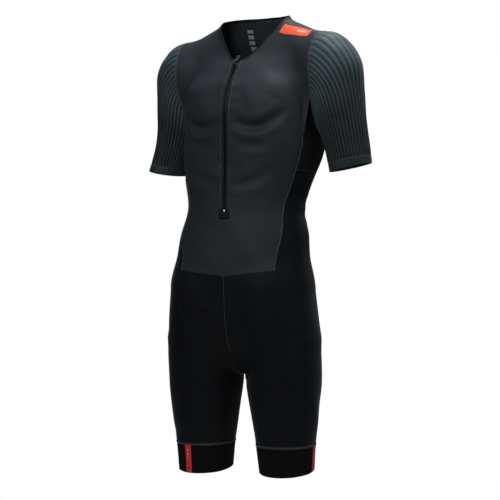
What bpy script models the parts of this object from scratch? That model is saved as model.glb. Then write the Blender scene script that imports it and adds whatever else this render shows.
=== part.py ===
"""A short-sleeved, short-legged triathlon suit, worn by nobody: panels of thin stretch cloth over one smooth figure.
Metres. +X is the wearer's left, -Y the front, +Z up. The origin is in the middle of the shoulder line."""
import math
import bpy
import numpy as np
from mathutils import Vector
from mathutils.bvhtree import BVHTree

for ob in list(bpy.data.objects):
    bpy.data.objects.remove(ob, do_unlink=True)

# ---------------------------------------------------------------- driving sizes
CLOTH = 0.0011            # wall of the jersey
HALF_SEAM = 0.00015       # each panel stops this far short of its seam line
BINDING_W = 0.006         # neck binding
ZIP_TOP_Z, ZIP_END_Z = -0.088, -0.404
WAIST_Z = (-0.528, -0.514, -0.508)     # waist seam at front, side, back
INSERT_LOW_Z = -0.313     # lower edge of the underarm insert
SIDE_TOP_Z = -0.180       # where the side seams meet the armhole
SLIT_HALF = 0.0056        # half of the zip slit in the front panel
COIL_HALF = 0.0021
TAPE_IN, TAPE_OUT = 0.0025, 0.0052
GRIPPER_Z = -0.874        # seam over the gripper band
HEM_Z = -0.929            # hem at the leg's axis
GRIPPER_TILT, HEM_TILT = 0.02, 0.12    # how much each falls towards the front
SLEEVE_T = 0.229          # sleeve hem, measured down the arm's axis
SLEEVE_CAP_T = 0.150      # first full ring of the sleeve, just below the armpit

# The trunk, level by level: half width, depth in front and behind, the axis' own y, squareness
TRUNK_COLS = ("z", "half_w", "front", "back", "axis_y", "square")
TRUNK = [
    (0.070, 0.054, 0.048, 0.062, 0.001, 2.0),
    (0.020, 0.057, 0.049, 0.067, 0.001, 2.0),
    (-0.020, 0.059, 0.046, 0.077, 0.001, 2.0),
    (-0.060, 0.086, 0.053, 0.094, 0.003, 2.1),
    (-0.100, 0.129, 0.080, 0.106, 0.004, 2.2),
    (-0.150, 0.149, 0.108, 0.113, 0.003, 2.4),
    (-0.200, 0.148, 0.119, 0.114, 0.003, 2.5),
    (-0.260, 0.148, 0.114, 0.110, 0.004, 2.6),
    (-0.320, 0.138, 0.106, 0.097, 0.002, 2.4),
    (-0.390, 0.126, 0.100, 0.086, 0.000, 2.2),
    (-0.450, 0.139, 0.100, 0.090, 0.000, 2.2),
    (-0.520, 0.143, 0.100, 0.100, 0.002, 2.2),
    (-0.590, 0.142, 0.099, 0.110, 0.004, 2.2),
    (-0.650, 0.143, 0.090, 0.108, 0.006, 2.1),
    (-0.685, 0.115, 0.070, 0.090, 0.008, 2.0),
    (-0.705, 0.070, 0.048, 0.060, 0.010, 2.0),
]
# The upper arm: distance down its axis, radius across and radius front to back
ARM_COLS = ("t", "across", "deep")
ARM = [
    (-0.020, 0.052, 0.056),
    (0.030, 0.064, 0.063),
    (0.080, 0.055, 0.061),
    (0.140, 0.0465, 0.054),
    (0.200, 0.0425, 0.049),
    (0.260, 0.0410, 0.047),
    (0.340, 0.0410, 0.047),
]
ARM_TOP, ARM_END = (0.173, 0.006, -0.084), (0.220, 0.026, -0.312)
# The thigh: its axis and radii, level by level
THIGH_COLS = ("z", "x", "y", "half_w", "front", "back")
THIGH = [
    (-0.560, 0.080, 0.000, 0.060, 0.085, 0.085),
    (-0.620, 0.082, 0.000, 0.070, 0.088, 0.096),
    (-0.690, 0.085, 0.000, 0.0785, 0.087, 0.095),
    (-0.750, 0.087, 0.002, 0.0765, 0.082, 0.088),
    (-0.790, 0.088, 0.003, 0.0720, 0.077, 0.083),
    (-0.830, 0.089, 0.004, 0.0665, 0.072, 0.078),
    (-0.866, 0.090, 0.006, 0.0612, 0.067, 0.073),
    (-0.930, 0.091, 0.008, 0.0555, 0.061, 0.067),
    (-1.000, 0.092, 0.010, 0.0530, 0.058, 0.062),
]
# The slope from the neck to the shoulder point
YOKE_IN, YOKE_OUT = (0.043, 0.014, -0.050), (0.152, 0.006, -0.092)
YOKE_HIGH, YOKE_DEEP = (0.062, 0.056), (0.040, 0.056)
BLEND_ARMPIT, ARMPIT_BLEND_Z = 0.018, (-0.110, -0.185)
BLEND_NECK, BLEND_ARM, BLEND_LEG, BLEND_CROTCH = 0.040, 0.024, 0.040, 0.026
# The stance: how far each level is turned and moved
POSE_COLS = ("z", "turn", "move_x", "move_y")
POSE = [
    (0.100, 0.0, 0.0, 0.0),
    (-0.200, 0.0, 0.0, 0.0),
    (-0.380, 5.0, -0.010, -0.014),
    (-0.550, 9.7, -0.012, -0.030),
    (-0.750, 9.7, -0.007, -0.030),
    (-1.000, 9.7, -0.007, -0.030),
]
# The neckline by its bearing from the front: height of the binding's outer edge
NECK_COLS = ("bearing", "z")
NECK = [(0, -0.086), (18, -0.078), (40, -0.055), (62, -0.026), (90, 0.006), (130, 0.016), (180, 0.019)]
NECK_AXIS_Y = 0.001
SHOULDER_BEARING = 96     # where the shoulder seam leaves the neckline
# The armhole by its bearing from the top, front side negative: how far out its plane lies
ARMHOLE_COLS = ("bearing", "x")
ARMHOLE = [(-180, 0.1525), (-150, 0.1545), (-125, 0.158), (-90, 0.161), (-45, 0.162), (0, 0.166), (45, 0.164), (90, 0.162), (125, 0.158), (150, 0.1545), (180, 0.1525)]
ARMHOLE_MID = (0.010, -0.122)
SIDE_FRONT_BEARING, SIDE_BACK_BEARING = -128, 132
# The side seams, as a share of the way from centre front to centre back
SEAM_COLS = ("z", "front", "back")
SEAMS = [
    (-0.180, 0.404, 0.640),
    (-0.313, 0.387, 0.640),
    (-0.404, 0.350, 0.640),
    (-0.528, 0.262, 0.640),
]
# The pelvic seam, as a share of the way round at each step down to the crotch
PELVIC = [0.262, 0.248, 0.218, 0.186, 0.152, 0.116, 0.085]


# ---------------------------------------------------------------- the figure as one smooth field
def column(rows, cols, name):
    return np.array([r[cols.index(name)] for r in rows], float)


def smooth(xs, ys, at):
    """A monotone cubic through a table's rows, held level beyond its ends."""
    if xs[0] > xs[-1]:
        xs, ys = xs[::-1], ys[::-1]
    h = np.diff(xs)
    d = np.diff(ys) / h
    m = np.zeros(len(xs))
    for i in range(1, len(xs) - 1):
        if d[i - 1] * d[i] > 0:
            w1, w2 = 2 * h[i] + h[i - 1], h[i] + 2 * h[i - 1]
            m[i] = (w1 + w2) / (w1 / d[i - 1] + w2 / d[i])
    m[0], m[-1] = d[0], d[-1]
    at = np.clip(at, xs[0], xs[-1])
    i = np.clip(np.searchsorted(xs, at, side="right") - 1, 0, len(xs) - 2)
    t = (at - xs[i]) / h[i]
    return ((1 + 2 * t) * (1 - t) ** 2 * ys[i] + t * (1 - t) ** 2 * h[i] * m[i]
            + t * t * (3 - 2 * t) * ys[i + 1] + t * t * (t - 1) * h[i] * m[i + 1])


def tab(rows, cols, name, at):
    return smooth(column(rows, cols, cols[0]), column(rows, cols, name), at)


def merge(a, b, k):
    h = np.maximum(k - np.abs(a - b), 0) / k
    return np.minimum(a, b) - h * h * k / 4


def trunk_field(p):
    x, y, z = p[..., 0], p[..., 1], p[..., 2]
    a, f, b, cy, n = (tab(TRUNK, TRUNK_COLS, c, z) for c in TRUNK_COLS[1:])
    dy = (y - cy) / np.where(y < cy, f, b)
    rho = (np.abs(x / a) ** n + np.abs(dy) ** n) ** (1 / n)
    low = np.maximum(TRUNK[-1][0] - z, 0) / 0.018
    rho = np.sqrt(rho ** 2 + low ** 2)
    return (rho - 1) * np.minimum(a, (f + b) / 2)


def bar_field(p, start, end, across, deep, ends, across_dir=(1.0, 0.0, 0.0)):
    """An oval bar from start to end; across and deep give its radii at a distance t down it."""
    start, end = np.array(start), np.array(end)
    axis = end - start
    axis = axis / np.linalg.norm(axis)
    side = np.array(across_dir) - axis * np.dot(across_dir, axis)
    side /= np.linalg.norm(side)
    back = np.cross(axis, side)
    q = p - start
    t = q @ axis
    over = np.where(t < 0, t, np.where(t > ends[1], t - ends[1], 0))
    ra, rd = across(t), deep(t)
    rho = np.sqrt((q @ side / ra) ** 2 + (q @ back / rd) ** 2 + (over / ends[0]) ** 2)
    return (rho - 1) * np.minimum(ra, rd)


def arm_field(p):
    q = p.copy()
    q[..., 0] = np.abs(q[..., 0])
    return bar_field(q, ARM_TOP, ARM_END, lambda t: tab(ARM, ARM_COLS, "across", t),
                     lambda t: tab(ARM, ARM_COLS, "deep", t), (0.050, 9.0))


def yoke_field(p):
    q = p.copy()
    q[..., 0] = np.abs(q[..., 0])
    length = float(np.linalg.norm(np.subtract(YOKE_OUT, YOKE_IN)))

    def mix(pair):
        return lambda t: pair[0] + (pair[1] - pair[0]) * np.clip(t / length, 0, 1)
    return bar_field(q, YOKE_IN, YOKE_OUT, mix(YOKE_HIGH), mix(YOKE_DEEP), (0.05, length), (0.0, 0.0, 1.0))


def thigh_field(p):
    x, y, z = np.abs(p[..., 0]), p[..., 1], p[..., 2]
    cx, cy, a, f, b = (tab(THIGH, THIGH_COLS, c, z) for c in THIGH_COLS[1:])
    dy = (y - cy) / np.where(y < cy, f, b)
    high = np.maximum(z - THIGH[0][0], 0) / 0.06
    r1 = np.sqrt(((x - cx) / a) ** 2 + dy ** 2 + high ** 2)
    r2 = np.sqrt(((-x - cx) / a) ** 2 + dy ** 2 + high ** 2)
    s = np.minimum(a, (f + b) / 2)
    return merge((r1 - 1) * s, (r2 - 1) * s, BLEND_CROTCH)


def body_field(p):
    return merge(merge(trunk_field(p), yoke_field(p), BLEND_NECK), thigh_field(p), BLEND_LEG)


def limb_field(p):
    return merge(arm_field(p), yoke_field(p), BLEND_ARM)


def field(p):
    """The figure. The arm joins softly over the shoulder and tightly at the armpit."""
    low = np.clip((ARMPIT_BLEND_Z[0] - p[..., 2]) / (ARMPIT_BLEND_Z[0] - ARMPIT_BLEND_Z[1]), 0, 1)
    return merge(body_field(p), arm_field(p), BLEND_ARM + (BLEND_ARMPIT - BLEND_ARM) * low)


def gradient(p, h=0.0004, of=field):
    g = np.empty_like(p)
    for k in range(3):
        d = np.zeros(3)
        d[k] = h
        g[..., k] = (of(p + d) - of(p - d)) / (2 * h)
    return g


def normals(p):
    g = gradient(p, 0.0012)
    return g / np.linalg.norm(g, axis=-1, keepdims=True)


def settle(p, steps=10, most=0.008, of=field):
    """Moves points straight onto the skin."""
    p = p.copy()
    for _ in range(steps):
        g = gradient(p, of=of)
        move = -of(p)[..., None] * g / np.maximum((g * g).sum(-1, keepdims=True), 1e-6)
        size = np.linalg.norm(move, axis=-1, keepdims=True)
        p += move * np.minimum(1, most / np.maximum(size, 1e-9))
    return p


def leave(start, way, far=0.32, samples=80, of=field):
    """Where rays from inside first leave the figure."""
    start, way = np.broadcast_arrays(np.asarray(start, float), np.asarray(way, float))
    way = way / np.linalg.norm(way, axis=-1, keepdims=True)
    t = np.linspace(0, far, samples)
    out = of(start[..., None, :] + way[..., None, :] * t[:, None]) > 0
    first = np.where(out.any(-1), np.maximum(out.argmax(-1), 1), samples - 1)
    lo, hi = t[first - 1], t[first]
    for _ in range(26):
        mid = (lo + hi) / 2
        o = of(start + way * mid[..., None]) > 0
        lo, hi = np.where(o, lo, mid), np.where(o, mid, hi)
    return start + way * ((lo + hi) / 2)[..., None]


def pose(p):
    a = np.radians(tab(POSE, POSE_COLS, "turn", p[..., 2]))
    mx, my = (tab(POSE, POSE_COLS, c, p[..., 2]) for c in POSE_COLS[2:])
    x, y = p[..., 0], p[..., 1]
    return np.stack([x * np.cos(a) - y * np.sin(a) + mx, x * np.sin(a) + y * np.cos(a) + my, p[..., 2]], -1)


# ---------------------------------------------------------------- seam lines on the figure
def along(points, shares):
    """Points at the given shares of a polyline's length."""
    d = np.r_[0, np.cumsum(np.linalg.norm(np.diff(points, axis=0), axis=1))]
    at = np.asarray(shares) * d[-1]
    return np.stack([np.interp(at, d, points[:, k]) for k in range(3)], -1)


def neck_points(bearings, drop=0.0):
    b = np.radians(bearings)
    z = smooth(column(NECK, NECK_COLS, "bearing"), column(NECK, NECK_COLS, "z"), np.asarray(bearings, float))
    p = leave(np.stack([0 * b, 0 * b + NECK_AXIS_Y, z], -1), np.stack([np.sin(b), -np.cos(b), 0 * b], -1))
    for _ in range(3):                       # down the skin from the edge to the seam under the binding
        if drop:
            g = normals(p)
            down = np.array([0, 0, -1.0]) + g * g[..., 2:3]
            p = settle(p + down / np.linalg.norm(down, axis=-1, keepdims=True) * drop / 3, 4)
    return p


def armhole_points(bearings):
    b = np.radians(bearings)
    x = smooth(column(ARMHOLE, ARMHOLE_COLS, "bearing"), column(ARMHOLE, ARMHOLE_COLS, "x"), np.asarray(bearings, float))
    y0, z0 = ARMHOLE_MID
    return leave(np.stack([x, 0 * b + y0, 0 * b + z0], -1), np.stack([0 * b, np.sin(b), np.cos(b)], -1), 0.16)


def centre_line(front):
    """The X = 0 line from the waist seam under the crotch, front or back half, ending at its lowest point."""
    z0 = WAIST_Z[0] if front else WAIST_Z[2]
    sign = -1.0 if front else 1.0
    zs = np.linspace(z0, -0.655, 30)
    level = leave(np.stack([0 * zs, 0 * zs, zs], -1), (0.0, sign, 0.0))
    a = np.radians(np.linspace(0, 90, 40))[1:]
    turn = leave(np.stack([0 * a, 0 * a + 0.008, 0 * a - 0.655], -1), np.stack([0 * a, sign * np.cos(a), -np.sin(a)], -1))
    return np.concatenate([level, turn])


def coons(bottom, top, left, right):
    """A grid [across, up] from its four sides, before it is moved onto the skin."""
    n, m = len(bottom), len(left)
    u, v = np.linspace(0, 1, n)[:, None, None], np.linspace(0, 1, m)[None, :, None]
    ub = np.r_[0, np.cumsum(np.linalg.norm(np.diff(bottom, axis=0), axis=1))]
    ub = (ub / ub[-1])[:, None, None]
    u = (u + ub) / 2
    return ((1 - v) * bottom[:, None] + v * top[:, None] + (1 - u) * left[None] + u * right[None]
            - (1 - u) * (1 - v) * bottom[0] - u * (1 - v) * bottom[-1] - (1 - u) * v * top[0] - u * v * top[-1])


def fit_grid(grid, first=field):
    """Moves a grid's inner points onto the skin, leaving its edges."""
    out = settle(settle(grid, 14, of=first), 8)
    out[0], out[-1], out[:, 0], out[:, -1] = grid[0], grid[-1], grid[:, 0], grid[:, -1]
    return out


class Suit:
    """One half of the suit (X >= 0) as named grids of outer points."""

    def __init__(self, n_front, n_side, n_back, torso, hips, leg, gripper, upper, n_neck, n_neck_back, sleeve):
        self.nf, self.ns, self.nb = n_front, n_side, n_back
        nA, nB, N = n_front + 1, n_front + 1 + n_side, n_front + 1 + n_side + n_back
        self.nA, self.nB, self.N = nA, nB, N
        # torso rows from the armhole's foot down to the waist, as heights at the centre front
        marks = [SIDE_TOP_Z, INSERT_LOW_Z, ZIP_END_Z, WAIST_Z[0]]
        zs = np.concatenate([np.linspace(a, b, k + 1)[:-1] for a, b, k in zip(marks, marks[1:], torso)] + [[WAIST_Z[0]]])
        self.row_insert, self.row_zip = torso[0], torso[0] + torso[1]
        self.torso_z = zs
        rows = [self.ring(z) for z in zs]
        torso_grid = np.stack(rows, 1)                            # [column, row]
        ends = armhole_points([SIDE_FRONT_BEARING, SIDE_BACK_BEARING])
        ramp = np.interp(np.arange(N + 1), [0, 1, nA, nB, N], [0, 0, 1, 1, 0])[:, None]
        for row, fade in ((0, 1.0), (1, 0.6), (2, 0.25)):                    # the first rows lead to the armhole's own points
            shift = np.where(np.arange(N + 1)[:, None] <= (nA + nB) / 2, ends[0] - torso_grid[nA, 0], ends[1] - torso_grid[nB, 0])
            if row:
                shift = shift0
            shift0 = shift
            torso_grid[:, row] = torso_grid[:, row] + shift * ramp * fade
            torso_grid[1:-1, row] = settle(torso_grid[1:-1, row], of=body_field if row else field)
            torso_grid[0, row, 0] = torso_grid[-1, row, 0] = 0
            torso_grid[1, row, 0] = SLIT_HALF
        torso_grid[nA, 0], torso_grid[nB, 0] = ends
        # the armhole: front edge up, back edge down, foot between
        foot = armhole_points(np.concatenate([np.linspace(SIDE_FRONT_BEARING, -180, n_side // 2 + 1)[:-1],
                                              np.linspace(180, SIDE_BACK_BEARING, n_side - n_side // 2 + 1)]))
        foot[0], foot[-1] = torso_grid[nA, 0], torso_grid[nB, 0]
        torso_grid[nA:nB + 1, 0] = foot
        fall = np.linspace(1, 0, self.row_insert + 1)[1:-1]
        ins = torso_grid[nA:nB + 1, :self.row_insert + 1]
        ins[:, 1:-1] = ins[:, :1] + (ins[:, -1:] - ins[:, :1]) * (1 - fall)[None, :, None]
        torso_grid[nA:nB + 1, :self.row_insert + 1] = fit_grid(ins, body_field)
        self.torso = torso_grid
        front_edge = armhole_points(np.linspace(SIDE_FRONT_BEARING, 0, upper + 1))
        back_edge = armhole_points(np.linspace(SIDE_BACK_BEARING, 0, upper + 1))
        front_edge[0], back_edge[0] = torso_grid[nA, 0], torso_grid[nB, 0]
        # shoulder seam, neck seam and centre edges of the two upper blocks
        tip = front_edge[-1]
        back_edge[-1] = tip
        neck_at = neck_points([SHOULDER_BEARING], BINDING_W)[0]
        n_sh = nA - 1 - n_neck
        line = neck_at + (tip - neck_at) * np.linspace(0, 1, 25)[:, None]
        line[1:-1] = settle(line[1:-1] + [0, 0, 0.01], 14)
        shoulder_f = along(line, np.linspace(0, 1, n_sh + 1))
        shoulder_b = along(line, np.linspace(0, 1, (n_back - n_neck_back) + 1))
        shoulder_f[1:-1], shoulder_b[1:-1] = settle(shoulder_f[1:-1]), settle(shoulder_b[1:-1])
        first = math.degrees(math.asin(SLIT_HALF / 0.07))
        b_front = first + (SHOULDER_BEARING - first) * np.linspace(0, 1, n_neck + 1)
        b_back = np.linspace(180, SHOULDER_BEARING, n_neck_back + 1)
        self.neck_f, self.neck_b = neck_points(b_front, BINDING_W), neck_points(b_back, BINDING_W)
        self.neck_f[0, 0] = SLIT_HALF
        self.neck_f[0] = leave([[SLIT_HALF, 0, self.neck_f[0, 2]]], (0, -1, 0))[0]
        self.neck_f[-1] = self.neck_b[-1] = neck_at
        self.edge_f, self.edge_b = neck_points(b_front), neck_points(b_back)
        self.edge_f[0] = leave([[SLIT_HALF, 0, self.edge_f[0, 2]]], (0, -1, 0))[0]
        self.edge_b[0, 0] = self.neck_b[0, 0] = 0.0
        zl = np.linspace(SIDE_TOP_Z, self.neck_f[0, 2], upper + 1)
        slit = leave(np.stack([0 * zl + SLIT_HALF, 0 * zl, zl], -1), (0, -1, 0))
        slit[0] = torso_grid[1, 0]
        zb = np.linspace(SIDE_TOP_Z, self.neck_b[0, 2], upper + 1)
        spine = leave(np.stack([0 * zb, 0 * zb, zb], -1), (0, 1, 0))
        spine[0], spine[-1] = torso_grid[N, 0], self.neck_b[0]
        top_f = np.concatenate([self.neck_f, shoulder_f[1:]])
        top_b = np.concatenate([self.neck_b, shoulder_b[1:]])
        self.slit_z = np.concatenate([zs[:self.row_zip + 1][::-1], zl[1:]])
        self.upper_f = fit_grid(coons(torso_grid[1:nA + 1, 0], top_f, slit, front_edge))
        self.upper_b = fit_grid(coons(torso_grid[nB:, 0][::-1], top_b, spine, back_edge))
        # hips: from the waist seam to the loop round the top of the leg
        cf, cb = centre_line(True), centre_line(False)
        self.crotch = cf[-1].copy()
        cf, cb = along(cf, np.linspace(0, 1, hips + 1)), along(cb, np.linspace(0, 1, hips + 1))
        cf[0], cb[0] = torso_grid[0, -1], torso_grid[N, -1]
        cb[-1] = cf[-1] = self.crotch
        cf[:, 0] = cb[:, 0] = 0
        share = np.interp(np.linspace(0, 1, hips + 1), np.linspace(0, 1, len(PELVIC)), PELVIC)
        loop = self.leg_ring(0.0, share[-1])
        loop[0] = loop[-1] = self.crotch
        waist = torso_grid[:, -1]
        hip = coons(waist, loop, cf, cb)
        hip = fit_grid(hip)
        for k in range(1, hips):                                  # slide the points along each row to the pelvic seam
            hip[:, k] = self.respace(hip[:, k], self.shares(share[k]))
        hip[:, 1:-1] = settle(hip[:, 1:-1], 8)
        hip[0], hip[-1] = cf, cb
        self.hip = hip
        n_leg = leg + gripper
        rings = [loop]
        for k in range(1, n_leg + 1):
            s = k / leg if k <= leg else 1 + (k - leg) / gripper
            rings.append(self.leg_ring(s, share[-1] + (nA / N - share[-1]) * min(1, k / leg)))
        self.leg = np.stack(rings, 1)
        self.leg[-1] = self.leg[0]
        self.row_gripper = leg
        # sleeve: from the armhole loop to the hem, columns in the loop's order
        loop = np.concatenate([front_edge[:-1], back_edge[::-1][:-1], foot[::-1][:-1]])
        self.sleeve_front, self.sleeve_back = upper, 2 * upper
        self.sleeve = self.sleeve_grid(loop, sleeve)
        self.front_edge, self.back_edge, self.foot, self.shoulder = front_edge, back_edge, foot, line

    def shares(self, a, b=None):
        """Shares of the way round for every column, with the side seams at a and b."""
        if b is None:
            b = a + (1 - a) * self.ns / (self.ns + self.nb)
        return np.concatenate([np.linspace(0, a, self.nA + 1)[:-1], np.linspace(a, b, self.ns + 1)[:-1], np.linspace(b, 1, self.nb + 1)])

    def respace(self, line, shares):
        return along(line, shares)

    def height(self, z, share):
        """A ring that is level high up takes on the waist seam's own rise lower down."""
        k = np.clip((INSERT_LOW_Z - z) / (INSERT_LOW_Z - WAIST_Z[0]), 0, 1)
        side = np.sin(np.pi * np.clip(share, 0, 1) / 1.0)
        back = np.clip(share, 0, 1) ** 2
        return z + k * ((WAIST_Z[1] - WAIST_Z[0]) * side * (1 - back) + (WAIST_Z[2] - WAIST_Z[0]) * back)

    def ring(self, z):
        a, b = (float(tab(SEAMS, SEAM_COLS, c, z)) for c in SEAM_COLS[1:])
        fine = np.linspace(0, 1, 121)
        ang = np.radians(-90 + 180 * fine)
        zz = self.height(z, fine)
        line = leave(np.stack([0 * ang, 0 * ang, zz], -1), np.stack([np.cos(ang), np.sin(ang), 0 * ang], -1), of=body_field)
        p = along(line, self.shares(a, b))
        step = leave([[SLIT_HALF, 0, p[0, 2]]], (0, -1, 0))[0]
        d = np.linalg.norm(np.diff(line, axis=0), axis=1).sum()
        s1 = SLIT_HALF / d
        p[1:self.nA] = along(line, np.linspace(s1, a, self.nA)[:-1])
        p[1] = step
        p = settle(p, 6, of=body_field)
        q = settle(p, 4)
        p = np.where(np.linalg.norm(q - p, axis=-1, keepdims=True) < 0.003, q, p)
        p[0, 0] = p[-1, 0] = 0
        p[1, 0] = SLIT_HALF
        return p

    def leg_ring(self, s, share):
        """A ring round the leg: s 0 at the crotch, 1 at the gripper's seam, 2 at the hem."""
        fine = np.linspace(0, 1, 145)
        ang = np.radians(-180 + 360 * fine)
        off = np.minimum(360 * np.minimum(fine, 1 - fine), 180)   # degrees away from the inseam
        z_in = self.crotch[2] + (GRIPPER_Z - self.crotch[2]) * min(s, 1) + (HEM_Z - GRIPPER_Z) * max(s - 1, 0)
        fall = max(0, 1 - s) ** 2
        dip = np.sin(np.radians(90 * np.minimum(off / 40, 1))) ** 2
        level = z_in + fall * (-0.012 * dip + 0.026 * np.sin(np.radians(off / 2)) ** 2)
        zz = level
        cx, cy = tab(THIGH, THIGH_COLS, "x", zz), tab(THIGH, THIGH_COLS, "y", zz)
        tilt = GRIPPER_TILT * min(s, 1) ** 2 + (HEM_TILT - GRIPPER_TILT) * max(s - 1, 0)
        for _ in range(3):
            p = leave(np.stack([cx, cy, zz], -1), np.stack([np.cos(ang), np.sin(ang), 0 * ang], -1), 0.16)
            zz = level + tilt * (p[:, 1] - cy)
        if s == 0:
            p[0] = p[-1] = self.crotch
        out = along(p, self.shares(share))
        out[1:-1] = settle(out[1:-1], 5)
        return out

    def sleeve_grid(self, loop, rows):
        start, end = np.array(ARM_TOP), np.array(ARM_END)
        axis = (end - start) / np.linalg.norm(end - start)
        side = np.array([1.0, 0, 0]) - axis * axis[0]
        side /= np.linalg.norm(side)
        back = np.cross(axis, side)
        n = len(loop)
        d = np.r_[0, np.cumsum(np.linalg.norm(np.diff(np.vstack([loop, loop[:1]]), axis=0), axis=1))]
        top = self.sleeve_front                                  # the column that starts at the shoulder point
        ang = 2 * np.pi * (d[:-1] - d[top]) / d[-1]
        way = np.cos(ang)[:, None] * side + np.sin(ang)[:, None] * -back * np.sign(back[1]) * -1

        def ring(t):
            return leave(start + axis * t + 0 * way, way, 0.14, of=limb_field)
        cap = rows // 2
        first = ring(SLEEVE_CAP_T)
        w = np.linspace(0, 1, cap + 1)[None, :, None]
        g = loop[:, None] * (1 - w) + first[:, None] * w
        g = settle(settle(g, 16, of=limb_field), 10)
        g[:, 0], g[:, -1] = loop, settle(first, 4)
        low = [settle(ring(t), 3) for t in np.linspace(SLEEVE_CAP_T, SLEEVE_T, rows - cap + 1)[1:]]
        return np.concatenate([g, np.stack(low, 1)], 1)


# ---------------------------------------------------------------- solids
def cells(grid, closed=False):
    """The quads of a grid [across, down]."""
    g = np.concatenate([grid, grid[:1]]) if closed else grid
    return np.stack([g[:-1, :-1], g[1:, :-1], g[1:, 1:], g[:-1, 1:]], 2).reshape(-1, 4, 3)


def mirrored(quads):
    return quads[:, [0, 3, 2, 1]] * [-1, 1, 1]


def weld(quads):
    keys, index = np.unique(np.round(quads.reshape(-1, 3) * 1e6).astype(np.int64), axis=0, return_inverse=True)
    index = index.reshape(-1)
    first = np.zeros(len(keys), int)
    first[index[::-1]] = np.arange(len(index))[::-1]
    return quads.reshape(-1, 3)[first], index.reshape(-1, 4)


def boundary(faces):
    """Directed edges that only one face uses."""
    use = {}
    for f in faces:
        for a, b in zip(f, np.roll(f, -1)):
            if a != b:
                use[(a, b)] = use.get((a, b), 0) + 1
    return [e for e in use if (e[1], e[0]) not in use]


def facing(verts, faces, nrm):
    """Turns round each face that looks inwards."""
    c = np.cross(verts[faces[:, 2]] - verts[faces[:, 0]], verts[faces[:, 3]] - verts[faces[:, 1]])
    inward = (c * nrm[faces].sum(1)).sum(-1) < 0
    return np.where(inward[:, None], faces[:, [0, 3, 2, 1]], faces)


def inset(verts, faces, nrm, by):
    """Moves the outline inwards in the cloth by an even distance, mitred at corners."""
    push = {}
    for a, b in boundary(faces):
        d = verts[b] - verts[a]
        for v in (a, b):
            way = np.cross(nrm[v], d)
            push.setdefault(v, []).append(way / np.linalg.norm(way))
    out = verts.copy()
    for v, ways in push.items():
        s = np.sum(ways, 0)
        s /= max(np.linalg.norm(s), 1e-9)
        out[v] += s * by / max(0.5, float(np.dot(s, ways[0])))
    return out


def solid(name, top, under, faces, mat):
    """A closed wall between two matching sheets of points."""
    n = len(top)
    tris = []
    for f in faces:
        f = [v for i, v in enumerate(f) if v != f[i - 1]]
        if len(f) == 4 and np.linalg.norm(top[f[0]] - top[f[2]]) > np.linalg.norm(top[f[1]] - top[f[3]]):
            f = f[1:] + f[:1]                                    # the shorter diagonal
        for i in range(1, len(f) - 1):
            tris.append((f[0], f[i], f[i + 1]))
    rim = boundary(faces)
    every = list(tris) + [(c + n, b + n, a + n) for a, b, c in tris]
    key = top @ np.array([0.31, 0.17, 1.0])
    for a, b in rim:                                              # both panels of a seam split its wall the same way
        every += [(b, a, a + n), (b, a + n, b + n)] if key[a] < key[b] else [(b, a, b + n), (a, a + n, b + n)]
    mesh = bpy.data.meshes.new(name)
    mesh.from_pydata([tuple(v) for v in np.concatenate([top, under])], [], [tuple(int(i) for i in t) for t in every])
    mesh.update()
    ob = bpy.data.objects.new(name, mesh)
    ob.data.materials.append(mat)
    bpy.context.scene.collection.objects.link(ob)
    return ob


SHEETS = {}


def panel(name, quads, mat, thick=CLOTH, lift=0.0, gap=HALF_SEAM):
    """A cloth panel: quads on the figure, drawn back from its seams and given its wall inwards."""
    verts, faces = weld(quads)
    nrm = normals(verts)
    faces = facing(verts, faces, nrm)
    verts = inset(verts, faces, nrm, gap)
    top, under = verts + nrm * lift, verts + nrm * (lift - thick)
    SHEETS[name] = (pose(top), faces)
    return solid(name, pose(top), pose(under), faces, mat)


def finish(name, colour, rough, metal=0.0):
    m = bpy.data.materials.new(name)
    m.use_nodes = True
    b = m.node_tree.nodes["Principled BSDF"]
    b.inputs["Base Color"].default_value = (*[((c / 255 + 0.055) / 1.055) ** 2.4 if c > 10 else c / 255 / 12.92 for c in colour], 1)
    b.inputs["Roughness"].default_value = rough
    b.inputs["Metallic"].default_value = metal
    return m


satin = finish("front_jersey", (46, 49, 53), 0.45)
mesh_cloth = finish("mesh_jersey", (24, 24, 25), 0.85)
lycra = finish("leg_lycra", (18, 19, 21), 0.6)
pelvic_cloth = finish("pelvic_lycra", (22, 23, 25), 0.6)
ribbed = finish("sleeve_fabric", (48, 54, 57), 0.65)
grip = finish("gripper_band", (16, 16, 16), 0.8)
bind = finish("neck_binding", (20, 20, 22), 0.7)
tape = finish("zip_tape", (24, 25, 27), 0.75)
coil = finish("zip_coil", (16, 17, 18), 0.5)
garage = finish("zip_garage", (22, 25, 29), 0.6)
metal = finish("dark_metal", (62, 64, 67), 0.4, 0.8)
tab_mat = finish("pull_tab", (40, 42, 45), 0.5)
orange = finish("shoulder_label", (236, 92, 58), 0.55)
red = finish("leg_tab", (190, 38, 44), 0.55)

half = Suit(n_front=7, n_side=6, n_back=7, torso=(5, 3, 4), hips=6, leg=5, gripper=2, upper=6, n_neck=4, n_neck_back=4, sleeve=9)
nA, nB, N = half.nA, half.nB, half.N


def both(quads):
    return np.concatenate([quads, mirrored(quads)])


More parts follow.
